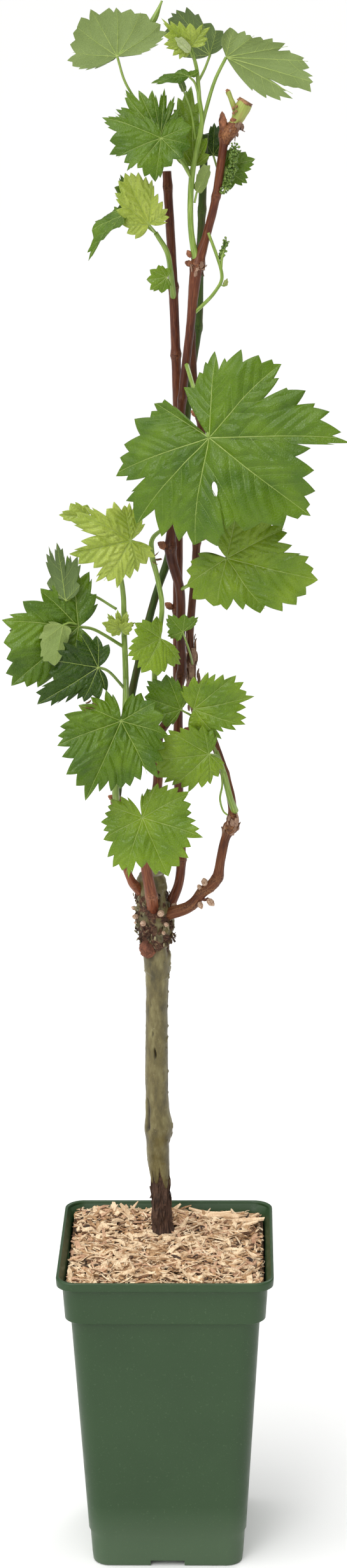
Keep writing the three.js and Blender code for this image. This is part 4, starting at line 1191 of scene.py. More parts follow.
def blister_cells(leaf, places):
    """Rounded cells of two sizes, with narrow grooves where the smallest veins divide a blade."""
    cell = 1.7 + 0.03 * leaf["size"]
    flat = np.column_stack((places, np.full(len(places), 3.3)))
    coarse = np.abs(value_noise(flat / cell, 84)) ** 0.55
    fine = np.abs(value_noise(flat / cell * 2.1, 85)) ** 0.7
    return coarse + 0.4 * fine


def leaf_bend(leaf, places, mains, angles, reaches, phase):
    """How far the whole blade bends out of the leaf's plane at each place, in mm."""
    size = leaf["size"]
    x, y = places.T
    far = np.hypot(x, y) / size
    turn = np.arctan2(y, x)
    share = np.clip(far / np.maximum(np.interp(turn, angles, reaches), 0.05), 0, 1)
    soft = 0.05 * size
    fold = math.tan(math.radians(leaf.get("fold", 6))) * (np.sqrt(y ** 2 + soft ** 2) - soft)
    cup = -leaf.get("cup", 0.18) * far ** 2 * size
    edges = np.concatenate(([angles[0]], mains, [angles[-1]]))
    order = np.clip(np.searchsorted(edges, turn) - 1, 0, len(edges) - 2)
    gap = edges[order + 1] - edges[order]
    across = np.clip((turn - edges[order]) / np.maximum(gap, 1e-6), 0, 1)
    pleat = 0.075 * size * np.minimum(gap, 0.9) * far * np.sin(math.pi * across) * (1 - 0.5 * share ** 3)
    wave = leaf.get("wave", 1.3) * size * (0.03 * share ** 2.5 * np.sin(turn * 5 + phase)
                                           + 0.012 * share ** 4 * np.sin(turn * 13 + phase * 2))
    layer = np.column_stack((x, y, np.full_like(x, phase * 9))) / (0.26 * size)
    crumple = 0.02 * size * fractal(layer, 81, 2)
    return fold + cup + pleat + wave + crumple * smoothstep(0, 0.25, far)


def leaf_blisters(leaf, places, veins, angles, reaches):
    """How far the upper face bulges between the veins at each place, in mm."""
    size = leaf["size"]
    rim = np.interp(np.arctan2(places[:, 1], places[:, 0]), angles, reaches)
    share = np.hypot(*places.T) / size / np.maximum(rim, 0.05)
    between = 1 - np.exp(-(nearest_vein(places, veins) / (0.35 + 0.024 * size)) ** 1.6)
    quilt = (0.1 + 0.012 * size) * between + (0.16 + 0.008 * size) * between * blister_cells(leaf, places)
    return leaf.get("blister", 1.0) * quilt * (1 - 0.6 * np.clip(share, 0, 1) ** 8)


def tear(flat, hole):
    """Opens a hole, given by its angle in degrees, its distance from the stalk, its half length and
    its half width in mm. Returns the moved places and which of them lay in it."""
    if hole is None:
        return flat, np.zeros(len(flat), bool)
    angle, distance, half_length, half_width = hole
    along = np.array((math.cos(math.radians(angle)), math.sin(math.radians(angle))))
    across = np.array((-along[1], along[0]))
    away = flat - along * distance
    reach = np.hypot(away @ along / half_length, away @ across / half_width)
    torn = reach < 1
    moved = along * distance + away / np.maximum(reach, 0.05)[:, None]
    return np.where(torn[:, None], moved, flat), torn


BLADE_THICKNESS = 0.3
RIB_HEIGHT = 0.32


def grow_leaf(leaf, random):
    """The upper face, the lower face and the veins of a leaf, each as points, faces and their kinds."""
    size = leaf["size"]
    angles, reaches = leaf_rim(leaf, random)
    veins, mains = leaf_veins(leaf, angles, reaches, random)
    phase = random.uniform(0, 2 * math.pi)
    axes = leaf_axes(leaf)
    origin = np.array(leaf["at"])
    count = len(angles)
    parts = []
    for side, kind, pace in ((1, 0, 1.2), (-1, 1, 3.0)):
        rings = max(5, round(size / (leaf_grain(size) * pace)))
        shares = np.arange(1, rings + 1) / rings
        flat_x = np.outer(shares, reaches * np.cos(angles)).ravel() * size
        flat_y = np.outer(shares, reaches * np.sin(angles)).ravel() * size
        flat = np.vstack(((0, 0), np.column_stack((flat_x, flat_y))))
        flat, torn = tear(flat, leaf.get("hole"))
        height = leaf_bend(leaf, flat, mains, angles, reaches, phase)
        half = np.full(len(flat), BLADE_THICKNESS / 2)
        half[-count:] = 0.02
        if kind == 0:
            bulge = leaf_blisters(leaf, flat, veins, angles, reaches)
            bulge[-count:] = 0
            height += bulge
        ring, ray = np.divmod(np.arange((rings - 1) * (count - 1)), count - 1)
        a = 1 + ring * count + ray
        quads = np.column_stack((a, a + count, a + count + 1, a + 1))[:, ::side]
        ray = np.arange(count - 1)
        fan = np.column_stack((np.zeros(count - 1, int), ray + 1, ray + 2))[:, ::side]
        points = origin + np.column_stack((flat, height + side * half)) @ axes
        quads = quads[~torn[quads].all(axis=1)]
        parts.append((points, fan.tolist() + quads.tolist(), [kind] * (len(fan) + len(quads))))
    lines = np.vstack([line for line, width, main in veins])
    heights = leaf_bend(leaf, lines, mains, angles, reaches, phase)
    centres = origin + np.column_stack((lines, heights)) @ axes
    start = 0
    for line, width, main in veins:
        end = start + len(line)
        taper = np.linspace(1, 0.35, len(line))
        heights = (RIB_HEIGHT + 0.3 * width) * taper ** 0.5
        points, loops, upper = rib(centres[start:end], width * taper, heights, axes[2], 6 if main else 4)
        parts.append((points, loops, np.where(upper & (not main), 3, 2).tolist()))
        start = end
    return parts


def rib(centres, widths, heights, face, sides):
    """A vein along a line, with an oval section that stands out of both faces of the blade: points,
    faces, and which of the faces are on the upper side."""
    along = np.gradient(centres, axis=0)
    along /= np.maximum(np.linalg.norm(along, axis=1), 1e-9)[:, None]
    across = np.cross(along, face)
    across /= np.linalg.norm(across, axis=1)[:, None]
    turn = np.arange(sides) * 2 * math.pi / sides
    outs = np.cos(turn)[None, :, None] * (across * widths[:, None])[:, None]
    outs = outs + np.sin(turn)[None, :, None] * face * heights[:, None, None]
    points = (centres[:, None] + outs).reshape(-1, 3)
    i, k = np.divmod(np.arange((len(centres) - 1) * sides), sides)
    a, b = i * sides + k, i * sides + (k + 1) % sides
    return points, np.column_stack((a, b, b + sides, a + sides)).tolist(), k < sides // 2


leaf_tissue, tissue_in, tissue_out = effect(
    "leaf_tissue", {"Dark": "Color", "Light": "Color"}, {"Colour": "Color", "Grain": "Float"})
place = object_place(leaf_tissue)
warp = node(leaf_tissue, "TexNoise", Vector=place, Scale=1 / 1.5, Detail=1.0).outputs["Color"]
swayed = node(leaf_tissue, "VectorMath", {"operation": "MULTIPLY_ADD"})
for value, socket in ((warp, 0), ((0.8, 0.8, 0.8), 1), (place, 2)):
    connect(leaf_tissue, value, swayed.inputs[socket])
net = node(
    leaf_tissue, "TexVoronoi", {"feature": "DISTANCE_TO_EDGE"}, Vector=swayed.outputs[0], Scale=1 / 1.7)
cushions = ramp(leaf_tissue, net.outputs["Distance"], (0.0, 0.0), (0.07, 0.55), (0.3, 1.0))
slow = noise(leaf_tissue, place, 24, 2, 0.5)
fine = noise(leaf_tissue, place, 0.55, 3, 0.65)
patches = ramp(leaf_tissue, slow, (0.3, 0.15), (0.7, 0.85))
shade = mix(leaf_tissue, patches, tissue_in["Dark"], tissue_in["Light"])
shade = mix(leaf_tissue, ramp(leaf_tissue, fine, (0.3, 0.22), (0.6, 0.0)), shade, paint(20, 44, 0))
netted = mix(leaf_tissue, ramp(leaf_tissue, cushions, (0.0, 0.07), (0.6, 0.0)), shade, paint(168, 186, 92))
connect(leaf_tissue, netted, tissue_out["Colour"])
connect(leaf_tissue, mix(leaf_tissue, 0.3, cushions, fine), tissue_out["Grain"])


LEAF_WAX = 0.14


def leaf_material(name, dark, light, dullness, shine, down):
    """One face of a blade: a slow change of green under a fine grain, waxy above and downy below."""
    material = new_material(name)
    tissue = placed(material, leaf_tissue, Dark=dark, Light=light)
    surface(
        material,
        Base_Color=tissue["Colour"],
        Roughness=ramp(material, tissue["Grain"], (0.2, dullness + 0.1), (0.8, dullness - 0.02)),
        Normal=bump(material, tissue["Grain"], 0.6 if down else 0.7, 0.3 if down else 0.36),
        Specular_IOR_Level=shine,
        Coat_Weight=0.0 if down else LEAF_WAX,
        Coat_Roughness=0.2,
        Sheen_Weight=down,
    )
    return material


# The dark and bright copies are partly the leaves' own greens and partly painted light: dark for painted
# shade on leaves that hang behind others, bright for painted highlight on glossy leaves.
LEAF_FACES = {
    "dark": leaf_material("leaf_dark", paint(26, 50, 1), paint(50, 80, 4), 0.26, 0.2, 0.0),
    "mid": leaf_material("leaf_mid", paint(52, 86, 1), paint(100, 130, 12), 0.24, 0.25, 0.0),
    "bright": leaf_material("leaf_bright", paint(80, 112, 3), paint(126, 152, 28), 0.24, 0.26, 0.0),
    "young": leaf_material("leaf_young", paint(118, 142, 22), paint(176, 190, 84), 0.26, 0.3, 0.0),
    "woolly": leaf_material("leaf_woolly", paint(150, 164, 108), paint(178, 188, 140), 0.7, 0.2, 0.3),
}
LEAF_BACKS = {
    "dark": leaf_material("back_dark", paint(78, 98, 48), paint(96, 116, 64), 0.62, 0.3, 0.15),
    "mid": leaf_material("back_mid", paint(104, 122, 62), paint(124, 142, 80), 0.62, 0.3, 0.15),
    "bright": leaf_material("back_bright", paint(114, 134, 66), paint(134, 150, 84), 0.62, 0.3, 0.15),
    "young": leaf_material("back_young", paint(144, 154, 82), paint(166, 174, 106), 0.62, 0.3, 0.15),
    "woolly": leaf_material("back_woolly", paint(186, 192, 160), paint(214, 218, 192), 0.8, 0.2, 0.4),
}


def green_skin(name, cloud, dark, light, roughness, fine):
    """A plain green skin: clouded in patches about cloud across, with a grain of about fine."""
    material = new_material(name)
    place = object_place(material)
    surface(
        material,
        Base_Color=ramp(material, noise(material, place, cloud, 2), dark, light),
        Roughness=roughness,
        Normal=bump(material, noise(material, place, fine, 2), 0.3, 0.1),
    )
    return material


vein_pale = green_skin("vein_pale", 4, (0.35, paint(128, 150, 62)), (0.65, paint(154, 170, 90)), 0.45, 0.5)
vein_green = green_skin("vein_green", 4, (0.35, paint(104, 134, 40)), (0.65, paint(128, 154, 62)), 0.4, 0.5)
SIDE_VEINS = {
    "dark": LEAF_FACES["bright"],
    "mid": vein_green,
    "bright": vein_green,
    "young": vein_pale,
    "woolly": LEAF_BACKS["woolly"],
}
stem_green = new_material("stem_green")
place = attribute(stem_green, "grain", "Vector")
stripe = noise(stem_green, stretched(stem_green, place, 0.06), 0.6, 3, 0.6)
blush = noise(stem_green, stretched(stem_green, place, 0.5), 9, 2)
blush = ramp(stem_green, blush, (0.62, 0.0), (0.78, 0.5))
stem_body = ramp(
    stem_green, stripe, (0.32, paint(96, 124, 36)), (0.5, paint(122, 148, 56)), (0.7, paint(154, 174, 90)))
surface(
    stem_green,
    Base_Color=mix(stem_green, blush, stem_body, paint(150, 120, 74)),
    Roughness=0.4,
    Normal=bump(stem_green, stripe, 0.3, 0.15),
)


def stem_relief(points, turn, distance):
    """Low ribs along a stem."""
    return 0.06 * np.cos(turn * 5 + distance / 9) + 0.05 * value_noise(points / 3, 82)


def leaf_stalk(leaf):
    """A leaf's stalk as a path that thickens a little from the blade to its foot."""
    radius = 0.45 + leaf["size"] * 0.0095
    path = (leaf["at"], *leaf["stalk"])
    return [(*place, radius * (1 + 0.08 * i)) for i, place in enumerate(path)]


def grow_mass(name, seed, stems, leaves):
    """One mass of foliage: a piece with its stems and stalks, and one with its leaves. A stem is rows
    of a place and a radius. A leaf is the place where its stalk ends, the length of its middle vein,
    the way that this vein points, how far it leans forward, how the blade is turned about it and
    folded along it, its tone of green, its lobes on either side, and its stalk. Some give the angles
    of their veins, how much their blade waves, cups or blisters, or a hole in it."""
    random = np.random.default_rng(seed)
    stalks = [leaf_stalk(leaf) for leaf in leaves]
    parts = [tube(path, 1.4, 14, stem_relief) for path in (*stems, *stalks)]
    grains = np.vstack([grain for points, faces, grain in parts])
    add_piece("stems_" + name, *joined(parts), stem_green, "foliage", (name,), grain=grains)
    parts = []
    finishes = [vein_pale]
    slots = []
    for leaf in leaves:
        tone = leaf["tone"]
        kinds = (LEAF_FACES[tone], LEAF_BACKS[tone], vein_pale, SIDE_VEINS[tone])
        for material in kinds:
            if material not in finishes:
                finishes.append(material)
        grown = grow_leaf(leaf, random)
        parts += grown
        slots += [finishes.index(kinds[kind]) for points, faces, face_kinds in grown for kind in face_kinds]
    blades = add_piece("leaves_" + name, *joined(parts), vein_pale, "foliage", (name,))
    for material in finishes[1:]:
        blades.data.materials.append(material)
    blades.data.polygons.foreach_set("material_index", slots)


grow_mass("foliage_low", 101, (), (
    dict(at=(-12.4, -46, 548.7), size=42.1, aim=294, lean=22, fold=5, tone="bright",
         veins=(-131, -84, -40, 49, 94, 134),
         left=((14, 0.95, 0.88), (26, 0.97, 0.84), (36, 0.9, 0.8), (49, 1.01, 0.78), (56, 0.93, 0.87),
               (64, 0.85, 0.77), (73, 0.78, 0.7), (83, 0.8, 0.72), (97, 0.84, 0.7), (107, 0.75, 0.68),
               (119, 0.66, 0.58), (134, 0.6, 0.53), (150, 0.48, 0.42)),
         right=((11, 0.92, 0.87), (24, 0.8, 0.7), (37, 0.98, 0.7), (45, 0.9, 0.82), (55, 0.92, 0.83),
                (66, 0.85, 0.75), (84, 0.72, 0.61), (95, 0.66, 0.58), (107, 0.67, 0.58),
                (120, 0.62, 0.55), (131, 0.61, 0.54), (143, 0.61, 0.55), (157, 0.5, 0.44)),
         stalk=((-12.5, -38, 556.6), (-9, -20, 560), (-4.4, -4.6, 553))),
))


# Lower right shoot
# A green shoot of the right arm with three leaves, one of them darker, and a thin tendril that hangs
# beside it.

grow_mass("foliage_low_right", 102, (
    ((48.9, -2, 541, 2.6), (45.6, -11, 553, 2.2), (42, -14, 569, 2), (36.5, -14.5, 586, 1.7)),
    ((40, -14, 572, 0.8), (40.5, -16, 563, 0.7), (39, -16, 553, 0.7), (41.5, -15, 544, 0.6),
     (44, -14, 541.5, 0.6)),
), (
    dict(at=(13.1, -22, 616.9), size=25.5, aim=160, lean=10, tone="mid",
         left=((32, 0.9), (68, 0.6)),
         right=((22, 1.17), (49, 1.01), (90, 0.6)),
         stalk=((24, -16, 608), (36.5, -14.5, 586))),
    dict(at=(21.7, -27, 618.4), size=40.6, aim=12, lean=12, tone="bright", veins=(-60, -29, 28, 60),
         left=((8, 0.92, 0.88), (18, 0.95, 0.84), (28, 0.91, 0.82), (39, 0.79, 0.73), (47, 0.71, 0.61),
               (57, 0.68, 0.58), (77, 0.56, 0.44), (100, 0.45, 0.4)),
         right=((10, 0.85, 0.74), (21, 0.87, 0.7), (29, 0.88, 0.79), (37, 0.78, 0.68), (46, 0.62, 0.54),
                (59, 0.68, 0.5), (80, 0.52, 0.45), (100, 0.45, 0.4)),
         stalk=((29.6, -20, 602), (37.5, -14.5, 584))),
    dict(at=(31.8, -32, 588.6), size=37.4, aim=184, lean=14, tone="bright", veins=(-82, -36, 37, 88, 128),
         left=((10, 0.98, 0.93), (19, 1, 0.92), (28, 0.94, 0.85), (37, 0.86, 0.78), (47, 0.78, 0.7),
               (57, 0.78, 0.67), (73, 0.62, 0.54), (88, 0.55, 0.48), (108, 0.46, 0.4), (130, 0.4, 0.36)),
         right=((9, 0.94, 0.9), (18, 0.9, 0.83), (28, 0.89, 0.82), (37, 0.85, 0.78), (49, 0.73, 0.65),
                (62, 0.68, 0.59), (82, 0.55, 0.48), (105, 0.45, 0.4)),
         stalk=((38, -25, 585), (42, -14, 570))),
))


# Left shoot
# The long green shoot of the left arm. It carries a broad leaf whose edges turn over, a dark one
# below it, a folded one that stands up, a young tuft at a joint, and a large leaf low at the front.

grow_mass("foliage_left", 103, (
    ((-31.6, -0.5, 547, 2.5), (-31.6, -8, 559, 2.4), (-24.3, -10, 616, 2.1), (-24.6, -10, 664, 1.9),
     (-26.7, -10, 704.5, 1.7), (-46.6, -14, 746.5, 1.2)),
), (
    dict(at=(-46.6, -14, 746.5), size=20, aim=178, lean=5, fold=10, tone="young",
         left=((32, 0.5), (80, 0.3)),
         right=((34, 0.75), (80, 0.4)),
         stalk=((-45, -13.6, 743),)),
    dict(at=(-54.1, -26, 674.5), size=58.6, aim=220, lean=20, tone="mid", veins=(-124, -84, -46, 38),
         left=((8, 0.89, 0.86), (15, 0.82, 0.77), (27, 0.7, 0.63), (40, 0.6, 0.54), (57, 0.5, 0.45),
               (75, 0.45, 0.4)),
         right=((9, 0.97, 0.92), (18, 0.9, 0.85), (30, 0.87, 0.81), (47, 0.87, 0.75), (66, 0.7, 0.61),
                (86, 0.62, 0.5), (104, 0.67, 0.5), (124, 0.82, 0.6), (144, 0.64, 0.55),
                (160, 0.42, 0.38)),
         stalk=((-44.6, -18, 671), (-24.6, -10, 657))),
    dict(at=(-40.8, -40, 650.1), size=46.6, aim=210, lean=18, tone="dark", veins=(-120, -92, -40, 34, 76),
         left=((8, 0.86, 0.8), (16, 0.68, 0.58), (26, 0.54, 0.46), (36, 0.53, 0.47), (58, 0.45, 0.4),
               (80, 0.36, 0.3)),
         right=((10, 0.95, 0.9), (26, 0.72, 0.62), (40, 0.75, 0.62), (54, 0.64, 0.56), (67, 0.63, 0.52),
                (82, 0.52, 0.44), (96, 0.55, 0.42), (120, 0.45, 0.38), (146, 0.36, 0.3)),
         stalk=((-35, -32, 646), (-24.4, -10, 628))),
    dict(at=(-62.3, -29, 693), size=39.6, aim=97, lean=-5, roll=180, fold=8, tone="dark",
         left=((5.2, 0.89, 0.86, 3), (13.7, 0.76, 0.46, 8), (23, 0.77, 0.64, 17), (50, 0.36, 0.36, 38)),
         right=((8.6, 0.96, 0.68, 6), (13.9, 0.85, 0.79, 11), (41.2, 0.42, 0.46, 24)),
         stalk=((-46.5, -6, 691.8), (-29.5, -10, 683))),
    dict(at=(-26.4, -18, 670.5), size=14, aim=99, lean=5, fold=10, tone="young", blister=1.5,
         left=((30, 1.02, 0.55), (68, 0.8, 0.45)),
         right=((28, 0.95, 0.5), (70, 0.8, 0.42)),
         stalk=((-24.6, -10, 664),)),
    dict(at=(-25.7, -50, 616.1), size=57.1, aim=245, lean=22, fold=5, tone="mid", blister=1.4,
         veins=(-86, -45, 50, 97, 143),
         left=((7, 0.85, 0.76), (16, 0.82, 0.7), (24, 0.78, 0.72), (32, 0.76, 0.71), (42, 0.72, 0.66),
               (57, 0.79, 0.57), (70, 0.68, 0.6), (83, 0.6, 0.54), (97, 0.58, 0.5), (120, 0.5, 0.44),
               (143, 0.47, 0.41), (168, 0.42, 0.37), (180, 0.36, 0.33)),
         right=((11, 0.91, 0.85), (22, 0.89, 0.8), (35, 0.8, 0.7), (45, 0.79, 0.66), (53, 0.75, 0.7),
                (61, 0.71, 0.65), (72, 0.67, 0.6), (86, 0.53, 0.47), (104, 0.45, 0.38), (130, 0.4, 0.3)),
         stalk=((-23.1, -40, 625), (-24.2, -10, 636))),
    dict(at=(-82.9, -22, 671.5), size=21.3, aim=201, lean=15, roll=180, tone="mid",
         left=((23.5, 0.84, 0.71, 7.2), (45.5, 0.74, 0.7, 30), (73.3, 0.6, 0.56, 60),
               (103.2, 0.5, 0.45, 88)),
         right=((13.4, 1.02, 0.86, 6), (26.6, 1, 0.88, 20), (52, 0.7, 0.66, 40)),
         stalk=((-70, -21, 673), (-55.9, -20, 673.2))),
    dict(at=(-63.9, -34, 677.5), size=29.1, aim=258, lean=24, roll=180, fold=4, tone="bright",
         left=((16.1, 0.99, 0.94, 10), (38, 0.68, 0.76, 29), (76.8, 0.42, 0.48, 60)),
         right=((8.4, 0.76, 0.88, 4.6), (24, 0.42), (60, 0.25)),
         stalk=((-60, -30, 678), (-55, -27, 676))),
    dict(at=(-27, -20, 672), size=12.5, aim=162, lean=12, fold=14, tone="young", blister=1.6,
         left=((26, 0.75), (60, 0.6), (100, 0.4)),
         right=((26, 0.8), (60, 0.62), (100, 0.45)),
         stalk=((-25, -13, 668),)),
    dict(at=(-25.6, -22, 671), size=9.5, aim=38, lean=20, fold=14, tone="young", blister=1.6,
         left=((26, 0.8), (66, 0.6)),
         right=((26, 0.8), (66, 0.6)),
         stalk=((-24.8, -13, 667),)),
))


# Centre shoot
# A green shoot from the front cane bends up behind a bright young leaf that hangs to the left, with a
# smaller leaf lower down.

grow_mass("foliage_centre", 104, (
    ((3, -2.2, 603, 1.9), (-3.6, -8, 622, 1.8), (-4.5, -9, 641, 1.8), (-1.6, -13, 664, 1.7),
     (1, -15.5, 686, 1.7), (-1.6, -17, 704, 1.7), (-5.6, -17, 723, 1.9), (-4.7, -17, 732, 1.5),
     (4.6, -17, 740, 1)),
), (
    dict(at=(-18.5, -36, 734.4), size=41.1, aim=191, lean=15, tone="young", blister=1.9,
         veins=(-128, -90, -40, 45, 91, 130),
         left=((12, 0.91, 0.86), (24, 0.74, 0.68), (39, 0.87, 0.61), (49, 0.75, 0.7), (62, 0.8, 0.65),
               (76, 0.61, 0.55), (91, 0.53, 0.45), (112, 0.47, 0.4), (133, 0.48, 0.4)),
         right=((12, 0.8, 0.7), (31, 1.03, 0.56), (40, 0.98, 0.9), (49, 0.92, 0.74), (64, 0.66, 0.58),
                (78, 0.69, 0.61), (92, 0.57, 0.51), (101, 0.6, 0.52), (128, 0.42, 0.35)),
         stalk=((-12, -29, 730), (-5.6, -17, 722))),
    dict(at=(0, -27, 666.8), size=24.8, aim=205, lean=28, tone="bright",
         left=((34, 1.05), (58, 1.01), (104, 0.95)),
         right=((58, 0.82), (110, 0.6)),
         stalk=((-1.1, -20, 660), (-2.6, -11, 654))),
))


# Small centre leaf
# A small leaf held on a thin stalk in front of the right cane, which it leaves at a node. It is as thin
# and toothed as the large ones, with fewer veins.

grow_mass("foliage_centre_small", 105, (), (
    dict(at=(14.7, -20, 669.5), size=15.1, aim=130, lean=10, tone="mid",
         left=((66, 0.7), (110, 0.5)),
         right=((46, 0.8), (87, 0.96)),
         stalk=((18.5, -12, 656), (20.4, 0, 645), (20.6, 10, 640))),
))


# Right leaf
# A bright leaf with a blistered blade, on a stalk that runs forward from the front cane. It hangs
# flat to the front, under the great leaf.

grow_mass("foliage_right", 106, (), (
    dict(at=(44.1, -34, 722), size=61.4, aim=348, lean=18, tone="bright", blister=1.1,
         veins=(-132, -90, -40, 40, 87),
         left=((7, 0.94, 0.92), (15, 0.89, 0.85), (25, 0.74, 0.64), (36, 0.72, 0.6), (44, 0.72, 0.67),
               (54, 0.68, 0.6), (66, 0.64, 0.54), (87, 0.6, 0.5), (112, 0.52, 0.44)),
         right=((12, 0.92, 0.89), (21, 0.89, 0.85), (31, 0.82, 0.76), (45, 0.69, 0.65), (58, 0.58, 0.53),
                (77, 0.56, 0.44), (95, 0.56, 0.51), (118, 0.6, 0.51), (132, 0.54, 0.5), (149, 0.48, 0.43),
                (160, 0.42, 0.4)),
         stalk=((21.8, -20, 703), (12.9, -6, 695))),
))


# Great leaf
# The largest leaf stands out to the front on a long stalk. It has long pointed lobes, a pale knot
# where its veins meet, and a small hole torn beside one of them.

grow_mass("foliage_great", 107, (), (
    dict(at=(33.3, -58, 805.2), size=79.9, aim=323, lean=22, fold=5, tone="mid", blister=0.9, cup=0.22,
         hole=(-43.3, 33.4, 4.9, 2.1), veins=(-173, -123, -95, -61, 38, 84, 125),
         left=((4.4, 0.95, 0.94, 1.4), (11.6, 0.95, 0.88, 6.4), (21, 0.89, 0.82, 15.1),
               (32.2, 0.83, 0.72, 25.8), (36, 1.13, 0.72, 33.8), (40.4, 1.06, 0.99, 38.9),
               (50.1, 0.99, 0.91, 46.9), (56, 0.89, 0.87, 54.1), (63.9, 0.86, 0.75, 58.4),
               (70.5, 0.74, 0.74, 68.9), (83.9, 0.82, 0.54, 72.8), (89.3, 0.8, 0.78, 87),
               (96.4, 0.77, 0.73, 92.2), (108.9, 0.75, 0.66, 102.9), (118.3, 0.65, 0.62, 115.8),
               (126.6, 0.7, 0.55, 120.9), (134.2, 0.62, 0.6, 132), (140.6, 0.55, 0.53, 137.4),
               (157.4, 0.47, 0.43, 147.7)),
         right=((5, 0.94, 0.94, 2.1), (12.5, 0.91, 0.86, 7.4), (30.9, 0.8, 0.79, 20.1),
                (39.8, 0.75, 0.7, 33.5), (41.4, 0.78, 0.6, 40.6), (47.7, 0.87, 0.79, 44.3),
                (62, 0.87, 0.81, 55.1), (70.1, 0.87, 0.77, 66.7), (80.9, 0.9, 0.76, 77.2),
                (95.2, 0.94, 0.74, 91.5), (107.4, 0.88, 0.83, 104.2), (121.5, 0.86, 0.62, 111.6),
                (131.4, 0.8, 0.77, 127.1), (139, 0.76, 0.71, 133.8), (155.9, 0.69, 0.61, 144.9),
                (165.4, 0.57, 0.56, 160.4), (172, 0.57, 0.52, 168), (181, 0.5, 0.5, 177)),
         stalk=((28.1, -50, 819.6), (22, -26, 836), (17.9, -4.6, 846))),
))


# Flower shoot
# A thin green shoot that leaves the front cane to the right, bends upward and back to it, and
# carries a stalk for flower buds and one pale scale.

grow_mass("flower_shoot", 108, (
    ((21.5, -3, 877, 1.3), (29, -6, 884, 1.2), (36, -8, 891.5, 1.1), (41.2, -9, 900, 1.1),
     (41.4, -9, 905, 1.1), (38.6, -9, 915, 1), (35.4, -9.5, 924, 1), (32.8, -10, 931, 0.9)),
    ((41, -9, 908, 0.9), (41.4, -8, 914, 0.9), (43, -6.5, 920, 0.8), (44.6, -6, 925, 0.6)),
), (
    dict(at=(43.2, -8.4, 896.4), size=5.6, aim=70, roll=180, fold=14, tone="young",
         left=((20, 0.7), (50, 0.4)),
         right=((20, 0.7), (50, 0.4)),
         stalk=((40.2, -9, 897.6),)),
))


# Young leaves, upper left
# A side shoot of the tall cane: a yellow green young leaf with a strongly blistered blade, one that
# hangs folded along its middle vein, and two small ones.

grow_mass("foliage_top_left", 109, (
    ((9.4, 19, 886, 2), (7.9, 8, 905, 1.8), (6, 2, 917, 1.7), (-1.2, -5, 930.5, 1.5)),
), (
    dict(at=(-5.4, -14, 936.9), size=35.3, aim=115, lean=5, fold=14, tone="young", blister=2.0,
         veins=(-76, -30, 24, 64),
         left=((10, 0.96, 0.88), (22, 0.84, 0.76), (40, 0.66, 0.58), (61, 0.52, 0.44), (85, 0.43, 0.37),
               (110, 0.36, 0.3)),
         right=((6, 0.97, 0.91), (14, 0.95, 0.88), (22, 0.86, 0.79), (30, 0.81, 0.72), (42, 0.6, 0.52),
                (56, 0.5, 0.43), (76, 0.45, 0.38), (95, 0.4, 0.34)),
         stalk=((-1.2, -5, 930.5),)),
    dict(at=(-22.9, -4, 941.8), size=35.6, aim=220, lean=10, roll=70, fold=14, tone="mid",
         left=((30, 0.66), (77, 0.5)),
         right=((30, 0.66), (80, 0.45)),
         stalk=((-9.6, -2, 936), (-1.2, -5, 930.5))),
    dict(at=(-18, 3, 944), size=24, aim=98, lean=-5, roll=50, fold=16, tone="mid",
         left=((32, 0.8), (80, 0.6)),
         right=((30, 0.8), (80, 0.6)),
         stalk=((-9.6, -2, 936),)),
    dict(at=(5.7, -4, 901.8), size=13.1, aim=186, lean=10, fold=8, tone="bright",
         left=((30, 1.04), (65, 0.82), (98, 0.6)),
         right=((31, 0.92), (62, 0.75), (115, 0.5)),
         stalk=((7.5, 6, 907),)),
))


# Leaves and flower buds, upper right
# A short shoot behind the front cane, with a small leaf, a darker one behind it and a stalk for the
# flower buds in front of them.

grow_mass("foliage_top_right", 110, (
    ((38.2, -4, 954.5, 1.7), (42, 2.5, 963, 1.4), (44, 2, 972, 1.2)),
    ((42, 2.5, 963, 1), (46, -2, 966, 1), (48.9, -6, 974, 0.9), (49.8, -6, 984, 0.7)),
    ((46, -2, 966, 0.9), (45, -5, 961, 0.9), (42.7, -6, 956, 0.7)),
), (
    dict(at=(43.1, 4, 971.7), size=20.7, aim=14, lean=10, fold=8, tone="mid",
         left=((21, 0.82), (58, 0.6)),
         right=((49, 0.88), (89, 0.73), (113, 0.56)),
         stalk=((42, 2.5, 964),)),
    dict(at=(36, 20, 978), size=21, aim=88, lean=-5, fold=8, tone="dark",
         left=((30, 0.7), (80, 0.5)),
         right=((30, 0.75), (80, 0.5)),
         stalk=((40, 12, 966), (42, 2.5, 962))),
))


# Leaves at the tip
# The topmost shoot carries two large leaves that show their pale undersides, a dark one behind them,
# young ones at its tip, and two at its left, of which one hangs and one stands up. A long bright leaf
# stands up behind its stem, and small folded ones fill the gaps.

